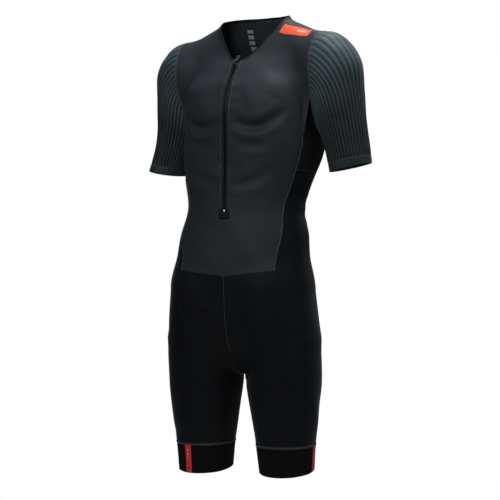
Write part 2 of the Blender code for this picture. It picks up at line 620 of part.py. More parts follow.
T, H, L = half.torso, half.hip, half.leg
rz, ri = half.row_zip, half.row_insert
front_half = np.concatenate([cells(T[1:nA + 1]), cells(T[0:2, rz:]), cells(half.upper_f)])
panel("front_panel", both(front_half), satin)
back_half = np.concatenate([cells(T[nB:]), cells(half.upper_b)])
panel("back_panel", both(back_half), satin)
for side, turn in (("left", lambda q: q), ("right", mirrored)):
    panel("side_insert_" + side, turn(cells(T[nA:nB + 1, :ri + 1])), mesh_cloth)
    leg_quads = np.concatenate([cells(T[nA:nB + 1, ri:]), cells(H[nA:]), cells(L[:, :half.row_gripper + 1])])
    panel("leg_" + side, turn(leg_quads), lycra)
    panel("pelvic_" + side, turn(cells(H[:nA + 1])), pelvic_cloth)
    panel("leg_gripper_" + side, turn(cells(L[:, half.row_gripper:])), grip)
    panel("sleeve_" + side, turn(cells(half.sleeve, True)), ribbed)
strip = np.concatenate([np.stack([half.neck_f, half.edge_f], 1), np.stack([half.neck_b, half.edge_b], 1)[::-1][1:]])
panel("neck_binding", both(cells(strip)), bind)

# ---------------------------------------------------------------- the zip
def front_line(x, z):
    z = np.asarray(z, float)
    return leave(np.stack([0 * z + x, 0 * z, z], -1), (0, -1, 0))


def strip(name, x0, x1, zs, lift, thick, mat):
    panel(name, cells(np.stack([front_line(x0, zs), front_line(x1, zs)])), mat, thick, lift)


ZIP_ROWS = np.r_[half.slit_z[:-1], half.neck_f[0, 2], ZIP_TOP_Z + 0.003]
ZIP_ROWS[0] += 0.0004
strip("zip_tape_left", TAPE_IN, TAPE_OUT, ZIP_ROWS, -0.0003, 0.0008, tape)
strip("zip_tape_right", -TAPE_OUT, -TAPE_IN, ZIP_ROWS, -0.0003, 0.0008, tape)
strip("zip_coil", -COIL_HALF, COIL_HALF, ZIP_ROWS, 0.0004, 0.0015, coil)

GARAGE_Z, GARAGE_HALF = (-0.4115, -0.3915), 0.0105
LIE = 0.0004              # what is sewn on lies this far over its panel


def sewn_on(name, grid, on, mat, thick, lie=LIE):
    """A patch made from its panel's own surface, moved out: on names the panel, or is None for the smooth figure."""
    nrm = normals(grid)
    out, pn = pose(grid), pose(grid + nrm * 0.001) - pose(grid)
    pn /= np.linalg.norm(pn, axis=-1, keepdims=True)
    if on:
        verts, faces = SHEETS[on]
        tree = BVHTree.FromPolygons([Vector(v) for v in verts], [tuple(int(i) for i in f) for f in faces])
        for i in np.ndindex(grid.shape[:2]):
            hit = tree.ray_cast(Vector(out[i] + pn[i] * 0.01), Vector(-pn[i]), 0.03)[0]
            if hit is not None:
                out[i] = hit
    idx = np.arange(grid.shape[0] * grid.shape[1]).reshape(grid.shape[:2])
    faces = np.stack([idx[:-1, :-1], idx[1:, :-1], idx[1:, 1:], idx[:-1, 1:]], -1).reshape(-1, 4)
    flat, fn = out.reshape(-1, 3), pn.reshape(-1, 3)
    faces = facing(flat, faces, fn)
    return solid(name, flat + fn * (lie + thick), flat + fn * lie, faces, mat)


gx = np.linspace(-GARAGE_HALF, GARAGE_HALF, 5)
sewn_on("zip_garage", np.stack([front_line(x, np.linspace(*GARAGE_Z, 4)) for x in gx]), None, garage, 0.0011, 0.0011)

DOT_Z, DOT_R, DOT_H = -0.3965, 0.0026, 0.0010


def frame_at(z, lift):
    """A point over the centre front, with the directions right, up the cloth and out of it."""
    p = front_line(0.0, [z])[0]
    n = normals(p[None])[0]
    n[0] = 0
    n /= np.linalg.norm(n)
    up = np.array([0, -n[2], n[1]]) * -1
    up *= np.sign(up[2])
    a = pose(np.array([p + n * lift, p + n * lift + up * 0.001, p + n * (lift + 0.001)]))
    u, o = a[1] - a[0], a[2] - a[0]
    u /= np.linalg.norm(u)
    o -= u * np.dot(o, u)
    o /= np.linalg.norm(o)
    return a[0], np.cross(u, o), u, o


def prism(name, outline, depth, place, mat, axes=(0, 1, 2)):
    """A flat outline given a depth; outline is in the first two of its axes, and depth runs from and to along the third."""
    base, right, up, out = place
    d = np.array([right, up, out])[list(axes)]
    if np.dot(np.cross(d[0], d[1]), d[2]) < 0:
        outline = outline[::-1]
    n = len(outline)
    pts = [base + d[0] * a + d[1] * b + d[2] * h for h in depth for a, b in outline]
    faces = [tuple(range(n))[::-1], tuple(range(n, 2 * n))] + [(i, (i + 1) % n, (i + 1) % n + n, i + n) for i in range(n)]
    mesh = bpy.data.meshes.new(name)
    mesh.from_pydata([tuple(p) for p in pts], [], faces)
    mesh.update()
    ob = bpy.data.objects.new(name, mesh)
    ob.data.materials.append(mat)
    bpy.context.scene.collection.objects.link(ob)
    return ob


def ring_outline(r, n=16):
    return [(r * math.cos(2 * math.pi * k / n), r * math.sin(2 * math.pi * k / n)) for k in range(n)]


def boolean(target, tool, operation):
    tool.hide_render = True
    tool.display_type = "WIRE"
    m = target.modifiers.new(operation.title(), "BOOLEAN")
    m.operation, m.object, m.solver = operation, tool, "EXACT"


prism("zip_end_dot", ring_outline(DOT_R), (0.0, DOT_H), frame_at(DOT_Z, 0.0026), metal)

SLIDER_Z = -0.0975
BODY_HALF_W, BODY_HALF_L, BODY_H = 0.0038, 0.0048, 0.0022
BAR_OUT, BAR_HALF_T, BAR_HALF_H = 0.0066, 0.0009, 0.0007
POST_W = 0.0011
place = frame_at(SLIDER_Z, 0.0008)
box = lambda a, b: [(-a, -b), (a, -b), (a, b), (-a, b)]
slider = prism("zip_slider", [(-BODY_HALF_W, -BODY_HALF_L), (BODY_HALF_W, -BODY_HALF_L), (BODY_HALF_W, BODY_HALF_L * 0.6),
                              (BODY_HALF_W * 0.6, BODY_HALF_L), (-BODY_HALF_W * 0.6, BODY_HALF_L), (-BODY_HALF_W, BODY_HALF_L * 0.6)],
               (0.0, BODY_H), place, metal)
arch = prism("cut_arch", box(BODY_HALF_W - 0.0002, BAR_HALF_T), (BODY_H - 0.0004, BAR_OUT + BAR_HALF_H), place, metal)
window = prism("cut_window", box(BODY_HALF_W - POST_W - 0.0002, 0.004), (BODY_H + 0.0000, BAR_OUT - BAR_HALF_H), place, metal)
window.location = place[3] * 1e-5
boolean(arch, window, "DIFFERENCE")
boolean(slider, arch, "UNION")

# the pull tab turns on the slider's bar; at rest it leans back over the neck opening
TAB_REST = 43.0           # degrees above the +Y direction
EYE_OUT_R, EYE_IN_R, EYE_HALF = 0.0030, 0.0016, 0.0018
TAB_T = 0.0015
TAB_SHAPE = [(0.0018, 0.0022), (0.0018, 0.0046), (0.0044, 0.0068), (0.0046, 0.0235), (0.0034, 0.0268)]
pivot = place[0] + place[3] * BAR_OUT
a = math.radians(TAB_REST)
way = np.array([0.0, math.cos(a), math.sin(a)])
out_way = np.array([0.0, -math.sin(a), math.cos(a)])
tab_place = (pivot, np.array([1.0, 0.0, 0.0]), way, out_way)
eye = prism("zip_pull_tab", ring_outline(EYE_OUT_R, 20), (-EYE_HALF, EYE_HALF), tab_place, tab_mat, axes=(1, 2, 0))
plate = prism("cut_plate", [(x, y) for x, y in TAB_SHAPE] + [(-x, y) for x, y in TAB_SHAPE[::-1]], (-TAB_T / 2, TAB_T / 2), tab_place, tab_mat)
hole = prism("cut_eye", ring_outline(EYE_IN_R, 16), (-0.004, 0.004), tab_place, tab_mat, axes=(1, 2, 0))
boolean(eye, plate, "UNION")
boolean(eye, hole, "DIFFERENCE")
eye["pivot"] = tuple(float(v) for v in pivot)

# ---------------------------------------------------------------- what is sewn on top
LABEL_T = 0.0008
# shoulder label: its corners over the wearer's left shoulder, as x and y seen from above
LABEL_CORNERS = {"neck_back": (0.0835, -0.0150), "arm_back": (0.1420, -0.0080), "arm_front": (0.1455, -0.0300), "neck_front": (0.0765, -0.0280)}


def label_grid(nu, nv):
    c = {k: np.array(v) for k, v in LABEL_CORNERS.items()}
    u, v = np.linspace(0, 1, nu)[:, None, None], np.linspace(0, 1, nv)[None, :, None]
    xy = (c["neck_back"] * (1 - u) + c["arm_back"] * u) * (1 - v) + (c["neck_front"] * (1 - u) + c["arm_front"] * u) * v
    start = np.concatenate([xy, np.full(xy.shape[:2] + (1,), -0.080)], -1)
    return leave(start, (0, 0, 1), 0.12)


sewn_on("shoulder_label", label_grid(11, 6), "front_panel", orange, LABEL_T, 0.0010)

LEG_TABS = {"leg_tab_left": (1, 88.0, 101.0), "leg_tab_right": (-1, 4.0, 17.0)}    # side, first and last bearing from the front
TAB_TOP, TAB_FOOT = 0.0015, 0.0010      # clear of the gripper's seam and of the hem


def leg_tab_grid(side, b0, b1, nu, nv):
    b = np.radians(np.linspace(b0, b1, nu))[:, None]
    v = np.linspace(0, 1, nv)[None]
    way = np.stack([np.sin(b) + 0 * v, -np.cos(b) + 0 * v, 0 * b + 0 * v], -1)
    zz = GRIPPER_Z - TAB_TOP + (HEM_Z - GRIPPER_Z + TAB_TOP + TAB_FOOT) * v + 0 * b
    p = None
    for _ in range(3):
        cx, cy = tab(THIGH, THIGH_COLS, "x", zz), tab(THIGH, THIGH_COLS, "y", zz)
        p = leave(np.stack([cx, cy, zz], -1), way, 0.16)
        zz = GRIPPER_Z - TAB_TOP + (HEM_Z - GRIPPER_Z + TAB_TOP + TAB_FOOT) * v + (GRIPPER_TILT + (HEM_TILT - GRIPPER_TILT) * v) * (p[..., 1] - cy)
    return p * [side, 1, 1]


for name, (side, b0, b1) in LEG_TABS.items():
    sewn_on(name, leg_tab_grid(side, b0, b1, 5, 5), "leg_gripper_left" if side > 0 else "leg_gripper_right", red, LABEL_T, 0.0006)
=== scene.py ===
"""A short-sleeved triathlon suit, worn by nobody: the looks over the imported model. Metres; +X is the wearer's left, -Y the front."""
import math
import bpy
import numpy as np
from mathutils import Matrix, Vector


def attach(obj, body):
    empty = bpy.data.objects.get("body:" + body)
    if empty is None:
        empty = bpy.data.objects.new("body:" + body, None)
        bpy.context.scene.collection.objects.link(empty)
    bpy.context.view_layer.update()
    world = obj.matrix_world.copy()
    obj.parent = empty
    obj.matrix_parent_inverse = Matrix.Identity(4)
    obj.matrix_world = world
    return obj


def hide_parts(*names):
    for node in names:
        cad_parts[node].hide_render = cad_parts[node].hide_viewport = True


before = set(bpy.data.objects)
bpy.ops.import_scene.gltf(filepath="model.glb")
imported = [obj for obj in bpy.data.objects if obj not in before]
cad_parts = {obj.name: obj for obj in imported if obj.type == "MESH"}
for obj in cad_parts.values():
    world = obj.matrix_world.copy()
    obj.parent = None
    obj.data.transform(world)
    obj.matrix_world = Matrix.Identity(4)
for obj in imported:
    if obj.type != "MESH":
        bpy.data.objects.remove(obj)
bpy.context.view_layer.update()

# ---------------------------------------------------------------- driving sizes
CLOTH = 0.0011            # wall of the jersey
HALF_SEAM = 0.00015       # each panel stops this far short of its seam line
BINDING_W = 0.006         # neck binding
ZIP_TOP_Z, ZIP_END_Z = -0.088, -0.404
WAIST_Z = (-0.528, -0.514, -0.508)     # waist seam at front, side, back
INSERT_LOW_Z = -0.313     # lower edge of the underarm insert
SIDE_TOP_Z = -0.180       # where the side seams meet the armhole
SLIT_HALF = 0.0056        # half of the zip slit in the front panel
COIL_HALF = 0.0021
TAPE_IN, TAPE_OUT = 0.0025, 0.0052
GRIPPER_Z = -0.874        # seam over the gripper band
HEM_Z = -0.929            # hem at the leg's axis
GRIPPER_TILT, HEM_TILT = 0.02, 0.12    # how much each falls towards the front
SLEEVE_T = 0.229          # sleeve hem, measured down the arm's axis
SLEEVE_CAP_T = 0.150      # first full ring of the sleeve, just below the armpit

# The trunk, level by level: half width, depth in front and behind, the axis' own y, squareness
TRUNK_COLS = ("z", "half_w", "front", "back", "axis_y", "square")
TRUNK = [
    (0.070, 0.054, 0.048, 0.062, 0.001, 2.0),
    (0.020, 0.057, 0.049, 0.067, 0.001, 2.0),
    (-0.020, 0.059, 0.046, 0.077, 0.001, 2.0),
    (-0.060, 0.086, 0.053, 0.094, 0.003, 2.1),
    (-0.100, 0.129, 0.080, 0.106, 0.004, 2.2),
    (-0.150, 0.149, 0.108, 0.113, 0.003, 2.4),
    (-0.200, 0.148, 0.119, 0.114, 0.003, 2.5),
    (-0.260, 0.148, 0.114, 0.110, 0.004, 2.6),
    (-0.320, 0.138, 0.106, 0.097, 0.002, 2.4),
    (-0.390, 0.126, 0.100, 0.086, 0.000, 2.2),
    (-0.450, 0.139, 0.100, 0.090, 0.000, 2.2),
    (-0.520, 0.143, 0.100, 0.100, 0.002, 2.2),
    (-0.590, 0.142, 0.099, 0.110, 0.004, 2.2),
    (-0.650, 0.143, 0.090, 0.108, 0.006, 2.1),
    (-0.685, 0.115, 0.070, 0.090, 0.008, 2.0),
    (-0.705, 0.070, 0.048, 0.060, 0.010, 2.0),
]
# The upper arm: distance down its axis, radius across and radius front to back
ARM_COLS = ("t", "across", "deep")
ARM = [
    (-0.020, 0.052, 0.056),
    (0.030, 0.064, 0.063),
    (0.080, 0.055, 0.061),
    (0.140, 0.0465, 0.054),
    (0.200, 0.0425, 0.049),
    (0.260, 0.0410, 0.047),
    (0.340, 0.0410, 0.047),
]
ARM_TOP, ARM_END = (0.173, 0.006, -0.084), (0.220, 0.026, -0.312)
# The thigh: its axis and radii, level by level
THIGH_COLS = ("z", "x", "y", "half_w", "front", "back")
THIGH = [
    (-0.560, 0.080, 0.000, 0.060, 0.085, 0.085),
    (-0.620, 0.082, 0.000, 0.070, 0.088, 0.096),
    (-0.690, 0.085, 0.000, 0.0785, 0.087, 0.095),
    (-0.750, 0.087, 0.002, 0.0765, 0.082, 0.088),
    (-0.790, 0.088, 0.003, 0.0720, 0.077, 0.083),
    (-0.830, 0.089, 0.004, 0.0665, 0.072, 0.078),
    (-0.866, 0.090, 0.006, 0.0612, 0.067, 0.073),
    (-0.930, 0.091, 0.008, 0.0555, 0.061, 0.067),
    (-1.000, 0.092, 0.010, 0.0530, 0.058, 0.062),
]
# The slope from the neck to the shoulder point
YOKE_IN, YOKE_OUT = (0.043, 0.014, -0.050), (0.152, 0.006, -0.092)
YOKE_HIGH, YOKE_DEEP = (0.062, 0.056), (0.040, 0.056)
BLEND_ARMPIT, ARMPIT_BLEND_Z = 0.018, (-0.110, -0.185)
BLEND_NECK, BLEND_ARM, BLEND_LEG, BLEND_CROTCH = 0.040, 0.024, 0.040, 0.026
# The stance: how far each level is turned and moved
POSE_COLS = ("z", "turn", "move_x", "move_y")
POSE = [
    (0.100, 0.0, 0.0, 0.0),
    (-0.200, 0.0, 0.0, 0.0),
    (-0.380, 5.0, -0.010, -0.014),
    (-0.550, 9.7, -0.012, -0.030),
    (-0.750, 9.7, -0.007, -0.030),
    (-1.000, 9.7, -0.007, -0.030),
]
# The neckline by its bearing from the front: height of the binding's outer edge
NECK_COLS = ("bearing", "z")
NECK = [(0, -0.086), (18, -0.078), (40, -0.055), (62, -0.026), (90, 0.006), (130, 0.016), (180, 0.019)]
NECK_AXIS_Y = 0.001
SHOULDER_BEARING = 96     # where the shoulder seam leaves the neckline
# The armhole by its bearing from the top, front side negative: how far out its plane lies
ARMHOLE_COLS = ("bearing", "x")
ARMHOLE = [(-180, 0.1525), (-150, 0.1545), (-125, 0.158), (-90, 0.161), (-45, 0.162), (0, 0.166), (45, 0.164), (90, 0.162), (125, 0.158), (150, 0.1545), (180, 0.1525)]
ARMHOLE_MID = (0.010, -0.122)
SIDE_FRONT_BEARING, SIDE_BACK_BEARING = -128, 132
# The side seams, as a share of the way from centre front to centre back
SEAM_COLS = ("z", "front", "back")
SEAMS = [
    (-0.180, 0.404, 0.640),
    (-0.313, 0.387, 0.640),
    (-0.404, 0.350, 0.640),
    (-0.528, 0.262, 0.640),
]
# The pelvic seam, as a share of the way round at each step down to the crotch
PELVIC = [0.262, 0.248, 0.218, 0.186, 0.152, 0.116, 0.085]


# ---------------------------------------------------------------- the figure as one smooth field
def column(rows, cols, name):
    return np.array([r[cols.index(name)] for r in rows], float)


def smooth(xs, ys, at):
    """A monotone cubic through a table's rows, held level beyond its ends."""
    if xs[0] > xs[-1]:
        xs, ys = xs[::-1], ys[::-1]
    h = np.diff(xs)
    d = np.diff(ys) / h
    m = np.zeros(len(xs))
    for i in range(1, len(xs) - 1):
        if d[i - 1] * d[i] > 0:
            w1, w2 = 2 * h[i] + h[i - 1], h[i] + 2 * h[i - 1]
            m[i] = (w1 + w2) / (w1 / d[i - 1] + w2 / d[i])
    m[0], m[-1] = d[0], d[-1]
    at = np.clip(at, xs[0], xs[-1])
    i = np.clip(np.searchsorted(xs, at, side="right") - 1, 0, len(xs) - 2)
    t = (at - xs[i]) / h[i]
    return ((1 + 2 * t) * (1 - t) ** 2 * ys[i] + t * (1 - t) ** 2 * h[i] * m[i]
            + t * t * (3 - 2 * t) * ys[i + 1] + t * t * (t - 1) * h[i] * m[i + 1])


def tab(rows, cols, name, at):
    return smooth(column(rows, cols, cols[0]), column(rows, cols, name), at)


def merge(a, b, k):
    h = np.maximum(k - np.abs(a - b), 0) / k
    return np.minimum(a, b) - h * h * k / 4


def trunk_field(p):
    x, y, z = p[..., 0], p[..., 1], p[..., 2]
    a, f, b, cy, n = (tab(TRUNK, TRUNK_COLS, c, z) for c in TRUNK_COLS[1:])
    dy = (y - cy) / np.where(y < cy, f, b)
    rho = (np.abs(x / a) ** n + np.abs(dy) ** n) ** (1 / n)
    low = np.maximum(TRUNK[-1][0] - z, 0) / 0.018
    rho = np.sqrt(rho ** 2 + low ** 2)
    return (rho - 1) * np.minimum(a, (f + b) / 2)


def bar_field(p, start, end, across, deep, ends, across_dir=(1.0, 0.0, 0.0)):
    """An oval bar from start to end; across and deep give its radii at a distance t down it."""
    start, end = np.array(start), np.array(end)
    axis = end - start
    axis = axis / np.linalg.norm(axis)
    side = np.array(across_dir) - axis * np.dot(across_dir, axis)
    side /= np.linalg.norm(side)
    back = np.cross(axis, side)
    q = p - start
    t = q @ axis
    over = np.where(t < 0, t, np.where(t > ends[1], t - ends[1], 0))
    ra, rd = across(t), deep(t)
    rho = np.sqrt((q @ side / ra) ** 2 + (q @ back / rd) ** 2 + (over / ends[0]) ** 2)
    return (rho - 1) * np.minimum(ra, rd)


def arm_field(p):
    q = p.copy()
    q[..., 0] = np.abs(q[..., 0])
    return bar_field(q, ARM_TOP, ARM_END, lambda t: tab(ARM, ARM_COLS, "across", t),
                     lambda t: tab(ARM, ARM_COLS, "deep", t), (0.050, 9.0))


def yoke_field(p):
    q = p.copy()
    q[..., 0] = np.abs(q[..., 0])
    length = float(np.linalg.norm(np.subtract(YOKE_OUT, YOKE_IN)))

    def mix(pair):
        return lambda t: pair[0] + (pair[1] - pair[0]) * np.clip(t / length, 0, 1)
    return bar_field(q, YOKE_IN, YOKE_OUT, mix(YOKE_HIGH), mix(YOKE_DEEP), (0.05, length), (0.0, 0.0, 1.0))


def thigh_field(p):
    x, y, z = np.abs(p[..., 0]), p[..., 1], p[..., 2]
    cx, cy, a, f, b = (tab(THIGH, THIGH_COLS, c, z) for c in THIGH_COLS[1:])
    dy = (y - cy) / np.where(y < cy, f, b)
    high = np.maximum(z - THIGH[0][0], 0) / 0.06
    r1 = np.sqrt(((x - cx) / a) ** 2 + dy ** 2 + high ** 2)
    r2 = np.sqrt(((-x - cx) / a) ** 2 + dy ** 2 + high ** 2)
    s = np.minimum(a, (f + b) / 2)
    return merge((r1 - 1) * s, (r2 - 1) * s, BLEND_CROTCH)


def body_field(p):
    return merge(merge(trunk_field(p), yoke_field(p), BLEND_NECK), thigh_field(p), BLEND_LEG)


def limb_field(p):
    return merge(arm_field(p), yoke_field(p), BLEND_ARM)


def field(p):
    """The figure. The arm joins softly over the shoulder and tightly at the armpit."""
    low = np.clip((ARMPIT_BLEND_Z[0] - p[..., 2]) / (ARMPIT_BLEND_Z[0] - ARMPIT_BLEND_Z[1]), 0, 1)
    return merge(body_field(p), arm_field(p), BLEND_ARM + (BLEND_ARMPIT - BLEND_ARM) * low)


def gradient(p, h=0.0004, of=field):
    g = np.empty_like(p)
    for k in range(3):
        d = np.zeros(3)
        d[k] = h
        g[..., k] = (of(p + d) - of(p - d)) / (2 * h)
    return g


def normals(p):
    g = gradient(p, 0.0012)
    return g / np.linalg.norm(g, axis=-1, keepdims=True)


def settle(p, steps=10, most=0.008, of=field):
    """Moves points straight onto the skin."""
    p = p.copy()
    for _ in range(steps):
        g = gradient(p, of=of)
        move = -of(p)[..., None] * g / np.maximum((g * g).sum(-1, keepdims=True), 1e-6)
        size = np.linalg.norm(move, axis=-1, keepdims=True)
        p += move * np.minimum(1, most / np.maximum(size, 1e-9))
    return p


def leave(start, way, far=0.32, samples=80, of=field):
    """Where rays from inside first leave the figure."""
    start, way = np.broadcast_arrays(np.asarray(start, float), np.asarray(way, float))
    way = way / np.linalg.norm(way, axis=-1, keepdims=True)
    t = np.linspace(0, far, samples)
    out = of(start[..., None, :] + way[..., None, :] * t[:, None]) > 0
    first = np.where(out.any(-1), np.maximum(out.argmax(-1), 1), samples - 1)
    lo, hi = t[first - 1], t[first]
    for _ in range(26):
        mid = (lo + hi) / 2
        o = of(start + way * mid[..., None]) > 0
        lo, hi = np.where(o, lo, mid), np.where(o, mid, hi)
    return start + way * ((lo + hi) / 2)[..., None]


def pose(p):
    a = np.radians(tab(POSE, POSE_COLS, "turn", p[..., 2]))
    mx, my = (tab(POSE, POSE_COLS, c, p[..., 2]) for c in POSE_COLS[2:])
    x, y = p[..., 0], p[..., 1]
    return np.stack([x * np.cos(a) - y * np.sin(a) + mx, x * np.sin(a) + y * np.cos(a) + my, p[..., 2]], -1)


# ---------------------------------------------------------------- seam lines on the figure
def along(points, shares):
    """Points at the given shares of a polyline's length."""
    d = np.r_[0, np.cumsum(np.linalg.norm(np.diff(points, axis=0), axis=1))]
    at = np.asarray(shares) * d[-1]
    return np.stack([np.interp(at, d, points[:, k]) for k in range(3)], -1)


def neck_points(bearings, drop=0.0):
    b = np.radians(bearings)
    z = smooth(column(NECK, NECK_COLS, "bearing"), column(NECK, NECK_COLS, "z"), np.asarray(bearings, float))
    p = leave(np.stack([0 * b, 0 * b + NECK_AXIS_Y, z], -1), np.stack([np.sin(b), -np.cos(b), 0 * b], -1))
    for _ in range(3):                       # down the skin from the edge to the seam under the binding
        if drop:
            g = normals(p)
            down = np.array([0, 0, -1.0]) + g * g[..., 2:3]
            p = settle(p + down / np.linalg.norm(down, axis=-1, keepdims=True) * drop / 3, 4)
    return p


def armhole_points(bearings):
    b = np.radians(bearings)
    x = smooth(column(ARMHOLE, ARMHOLE_COLS, "bearing"), column(ARMHOLE, ARMHOLE_COLS, "x"), np.asarray(bearings, float))
    y0, z0 = ARMHOLE_MID
    return leave(np.stack([x, 0 * b + y0, 0 * b + z0], -1), np.stack([0 * b, np.sin(b), np.cos(b)], -1), 0.16)


def centre_line(front):
    """The X = 0 line from the waist seam under the crotch, front or back half, ending at its lowest point."""
    z0 = WAIST_Z[0] if front else WAIST_Z[2]
    sign = -1.0 if front else 1.0
    zs = np.linspace(z0, -0.655, 30)
    level = leave(np.stack([0 * zs, 0 * zs, zs], -1), (0.0, sign, 0.0))
    a = np.radians(np.linspace(0, 90, 40))[1:]
    turn = leave(np.stack([0 * a, 0 * a + 0.008, 0 * a - 0.655], -1), np.stack([0 * a, sign * np.cos(a), -np.sin(a)], -1))
    return np.concatenate([level, turn])


def coons(bottom, top, left, right):
    """A grid [across, up] from its four sides, before it is moved onto the skin."""
    n, m = len(bottom), len(left)
    u, v = np.linspace(0, 1, n)[:, None, None], np.linspace(0, 1, m)[None, :, None]
    ub = np.r_[0, np.cumsum(np.linalg.norm(np.diff(bottom, axis=0), axis=1))]
    ub = (ub / ub[-1])[:, None, None]
    u = (u + ub) / 2
    return ((1 - v) * bottom[:, None] + v * top[:, None] + (1 - u) * left[None] + u * right[None]
            - (1 - u) * (1 - v) * bottom[0] - u * (1 - v) * bottom[-1] - (1 - u) * v * top[0] - u * v * top[-1])


def fit_grid(grid, first=field):
    """Moves a grid's inner points onto the skin, leaving its edges."""
    out = settle(settle(grid, 14, of=first), 8)
    out[0], out[-1], out[:, 0], out[:, -1] = grid[0], grid[-1], grid[:, 0], grid[:, -1]
    return out


class Suit:
    """One half of the suit (X >= 0) as named grids of outer points."""

    def __init__(self, n_front, n_side, n_back, torso, hips, leg, gripper, upper, n_neck, n_neck_back, sleeve):
        self.nf, self.ns, self.nb = n_front, n_side, n_back
        nA, nB, N = n_front + 1, n_front + 1 + n_side, n_front + 1 + n_side + n_back
        self.nA, self.nB, self.N = nA, nB, N
        # torso rows from the armhole's foot down to the waist, as heights at the centre front
        marks = [SIDE_TOP_Z, INSERT_LOW_Z, ZIP_END_Z, WAIST_Z[0]]
        zs = np.concatenate([np.linspace(a, b, k + 1)[:-1] for a, b, k in zip(marks, marks[1:], torso)] + [[WAIST_Z[0]]])
        self.row_insert, self.row_zip = torso[0], torso[0] + torso[1]
        self.torso_z = zs
        rows = [self.ring(z) for z in zs]
        torso_grid = np.stack(rows, 1)                            # [column, row]
        ends = armhole_points([SIDE_FRONT_BEARING, SIDE_BACK_BEARING])
        ramp = np.interp(np.arange(N + 1), [0, 1, nA, nB, N], [0, 0, 1, 1, 0])[:, None]
        step = torso[0] / 5
        for row in range(int(3 * step)):                            # the first rows lead to the armhole's own points
            fade = float(np.interp(row / step, [0, 1, 2, 3], [1.0, 0.6, 0.25, 0.0]))
            shift = np.where(np.arange(N + 1)[:, None] <= (nA + nB) / 2, ends[0] - torso_grid[nA, 0], ends[1] - torso_grid[nB, 0])
            if row:
                shift = shift0
            shift0 = shift
            torso_grid[:, row] = torso_grid[:, row] + shift * ramp * fade
            torso_grid[1:-1, row] = settle(torso_grid[1:-1, row], of=body_field if row else field)
            torso_grid[0, row, 0] = torso_grid[-1, row, 0] = 0
            torso_grid[1, row, 0] = SLIT_HALF
        torso_grid[nA, 0], torso_grid[nB, 0] = ends
        # the armhole: front edge up, back edge down, foot between
        foot = armhole_points(np.concatenate([np.linspace(SIDE_FRONT_BEARING, -180, n_side // 2 + 1)[:-1],
                                              np.linspace(180, SIDE_BACK_BEARING, n_side - n_side // 2 + 1)]))
        foot[0], foot[-1] = torso_grid[nA, 0], torso_grid[nB, 0]
        torso_grid[nA:nB + 1, 0] = foot
        fall = np.linspace(1, 0, self.row_insert + 1)[1:-1]
        ins = torso_grid[nA:nB + 1, :self.row_insert + 1]
        ins[:, 1:-1] = ins[:, :1] + (ins[:, -1:] - ins[:, :1]) * (1 - fall)[None, :, None]
        torso_grid[nA:nB + 1, :self.row_insert + 1] = fit_grid(ins, body_field)
        self.torso = torso_grid
        front_edge = armhole_points(np.linspace(SIDE_FRONT_BEARING, 0, upper + 1))
        back_edge = armhole_points(np.linspace(SIDE_BACK_BEARING, 0, upper + 1))
        front_edge[0], back_edge[0] = torso_grid[nA, 0], torso_grid[nB, 0]
        # shoulder seam, neck seam and centre edges of the two upper blocks
        tip = front_edge[-1]
        back_edge[-1] = tip
        neck_at = neck_points([SHOULDER_BEARING], BINDING_W)[0]
        n_sh = nA - 1 - n_neck
        line = neck_at + (tip - neck_at) * np.linspace(0, 1, 25)[:, None]
        line[1:-1] = settle(line[1:-1] + [0, 0, 0.01], 14)
        shoulder_f = along(line, np.linspace(0, 1, n_sh + 1))
        shoulder_b = along(line, np.linspace(0, 1, (n_back - n_neck_back) + 1))
        shoulder_f[1:-1], shoulder_b[1:-1] = settle(shoulder_f[1:-1]), settle(shoulder_b[1:-1])
        first = math.degrees(math.asin(SLIT_HALF / 0.07))
        b_front = first + (SHOULDER_BEARING - first) * np.linspace(0, 1, n_neck + 1)
        b_back = np.linspace(180, SHOULDER_BEARING, n_neck_back + 1)
        self.neck_f, self.neck_b = neck_points(b_front, BINDING_W), neck_points(b_back, BINDING_W)
        self.neck_f[0, 0] = SLIT_HALF
        self.neck_f[0] = leave([[SLIT_HALF, 0, self.neck_f[0, 2]]], (0, -1, 0))[0]
        self.neck_f[-1] = self.neck_b[-1] = neck_at
        self.edge_f, self.edge_b = neck_points(b_front), neck_points(b_back)
        self.edge_f[0] = leave([[SLIT_HALF, 0, self.edge_f[0, 2]]], (0, -1, 0))[0]
        self.edge_b[0, 0] = self.neck_b[0, 0] = 0.0
        zl = np.linspace(SIDE_TOP_Z, self.neck_f[0, 2], upper + 1)
        slit = leave(np.stack([0 * zl + SLIT_HALF, 0 * zl, zl], -1), (0, -1, 0))
        slit[0] = torso_grid[1, 0]
        zb = np.linspace(SIDE_TOP_Z, self.neck_b[0, 2], upper + 1)
        spine = leave(np.stack([0 * zb, 0 * zb, zb], -1), (0, 1, 0))
        spine[0], spine[-1] = torso_grid[N, 0], self.neck_b[0]
        top_f = np.concatenate([self.neck_f, shoulder_f[1:]])
        top_b = np.concatenate([self.neck_b, shoulder_b[1:]])
        self.slit_z = np.concatenate([zs[:self.row_zip + 1][::-1], zl[1:]])
        self.upper_f = fit_grid(coons(torso_grid[1:nA + 1, 0], top_f, slit, front_edge))
        self.upper_b = fit_grid(coons(torso_grid[nB:, 0][::-1], top_b, spine, back_edge))
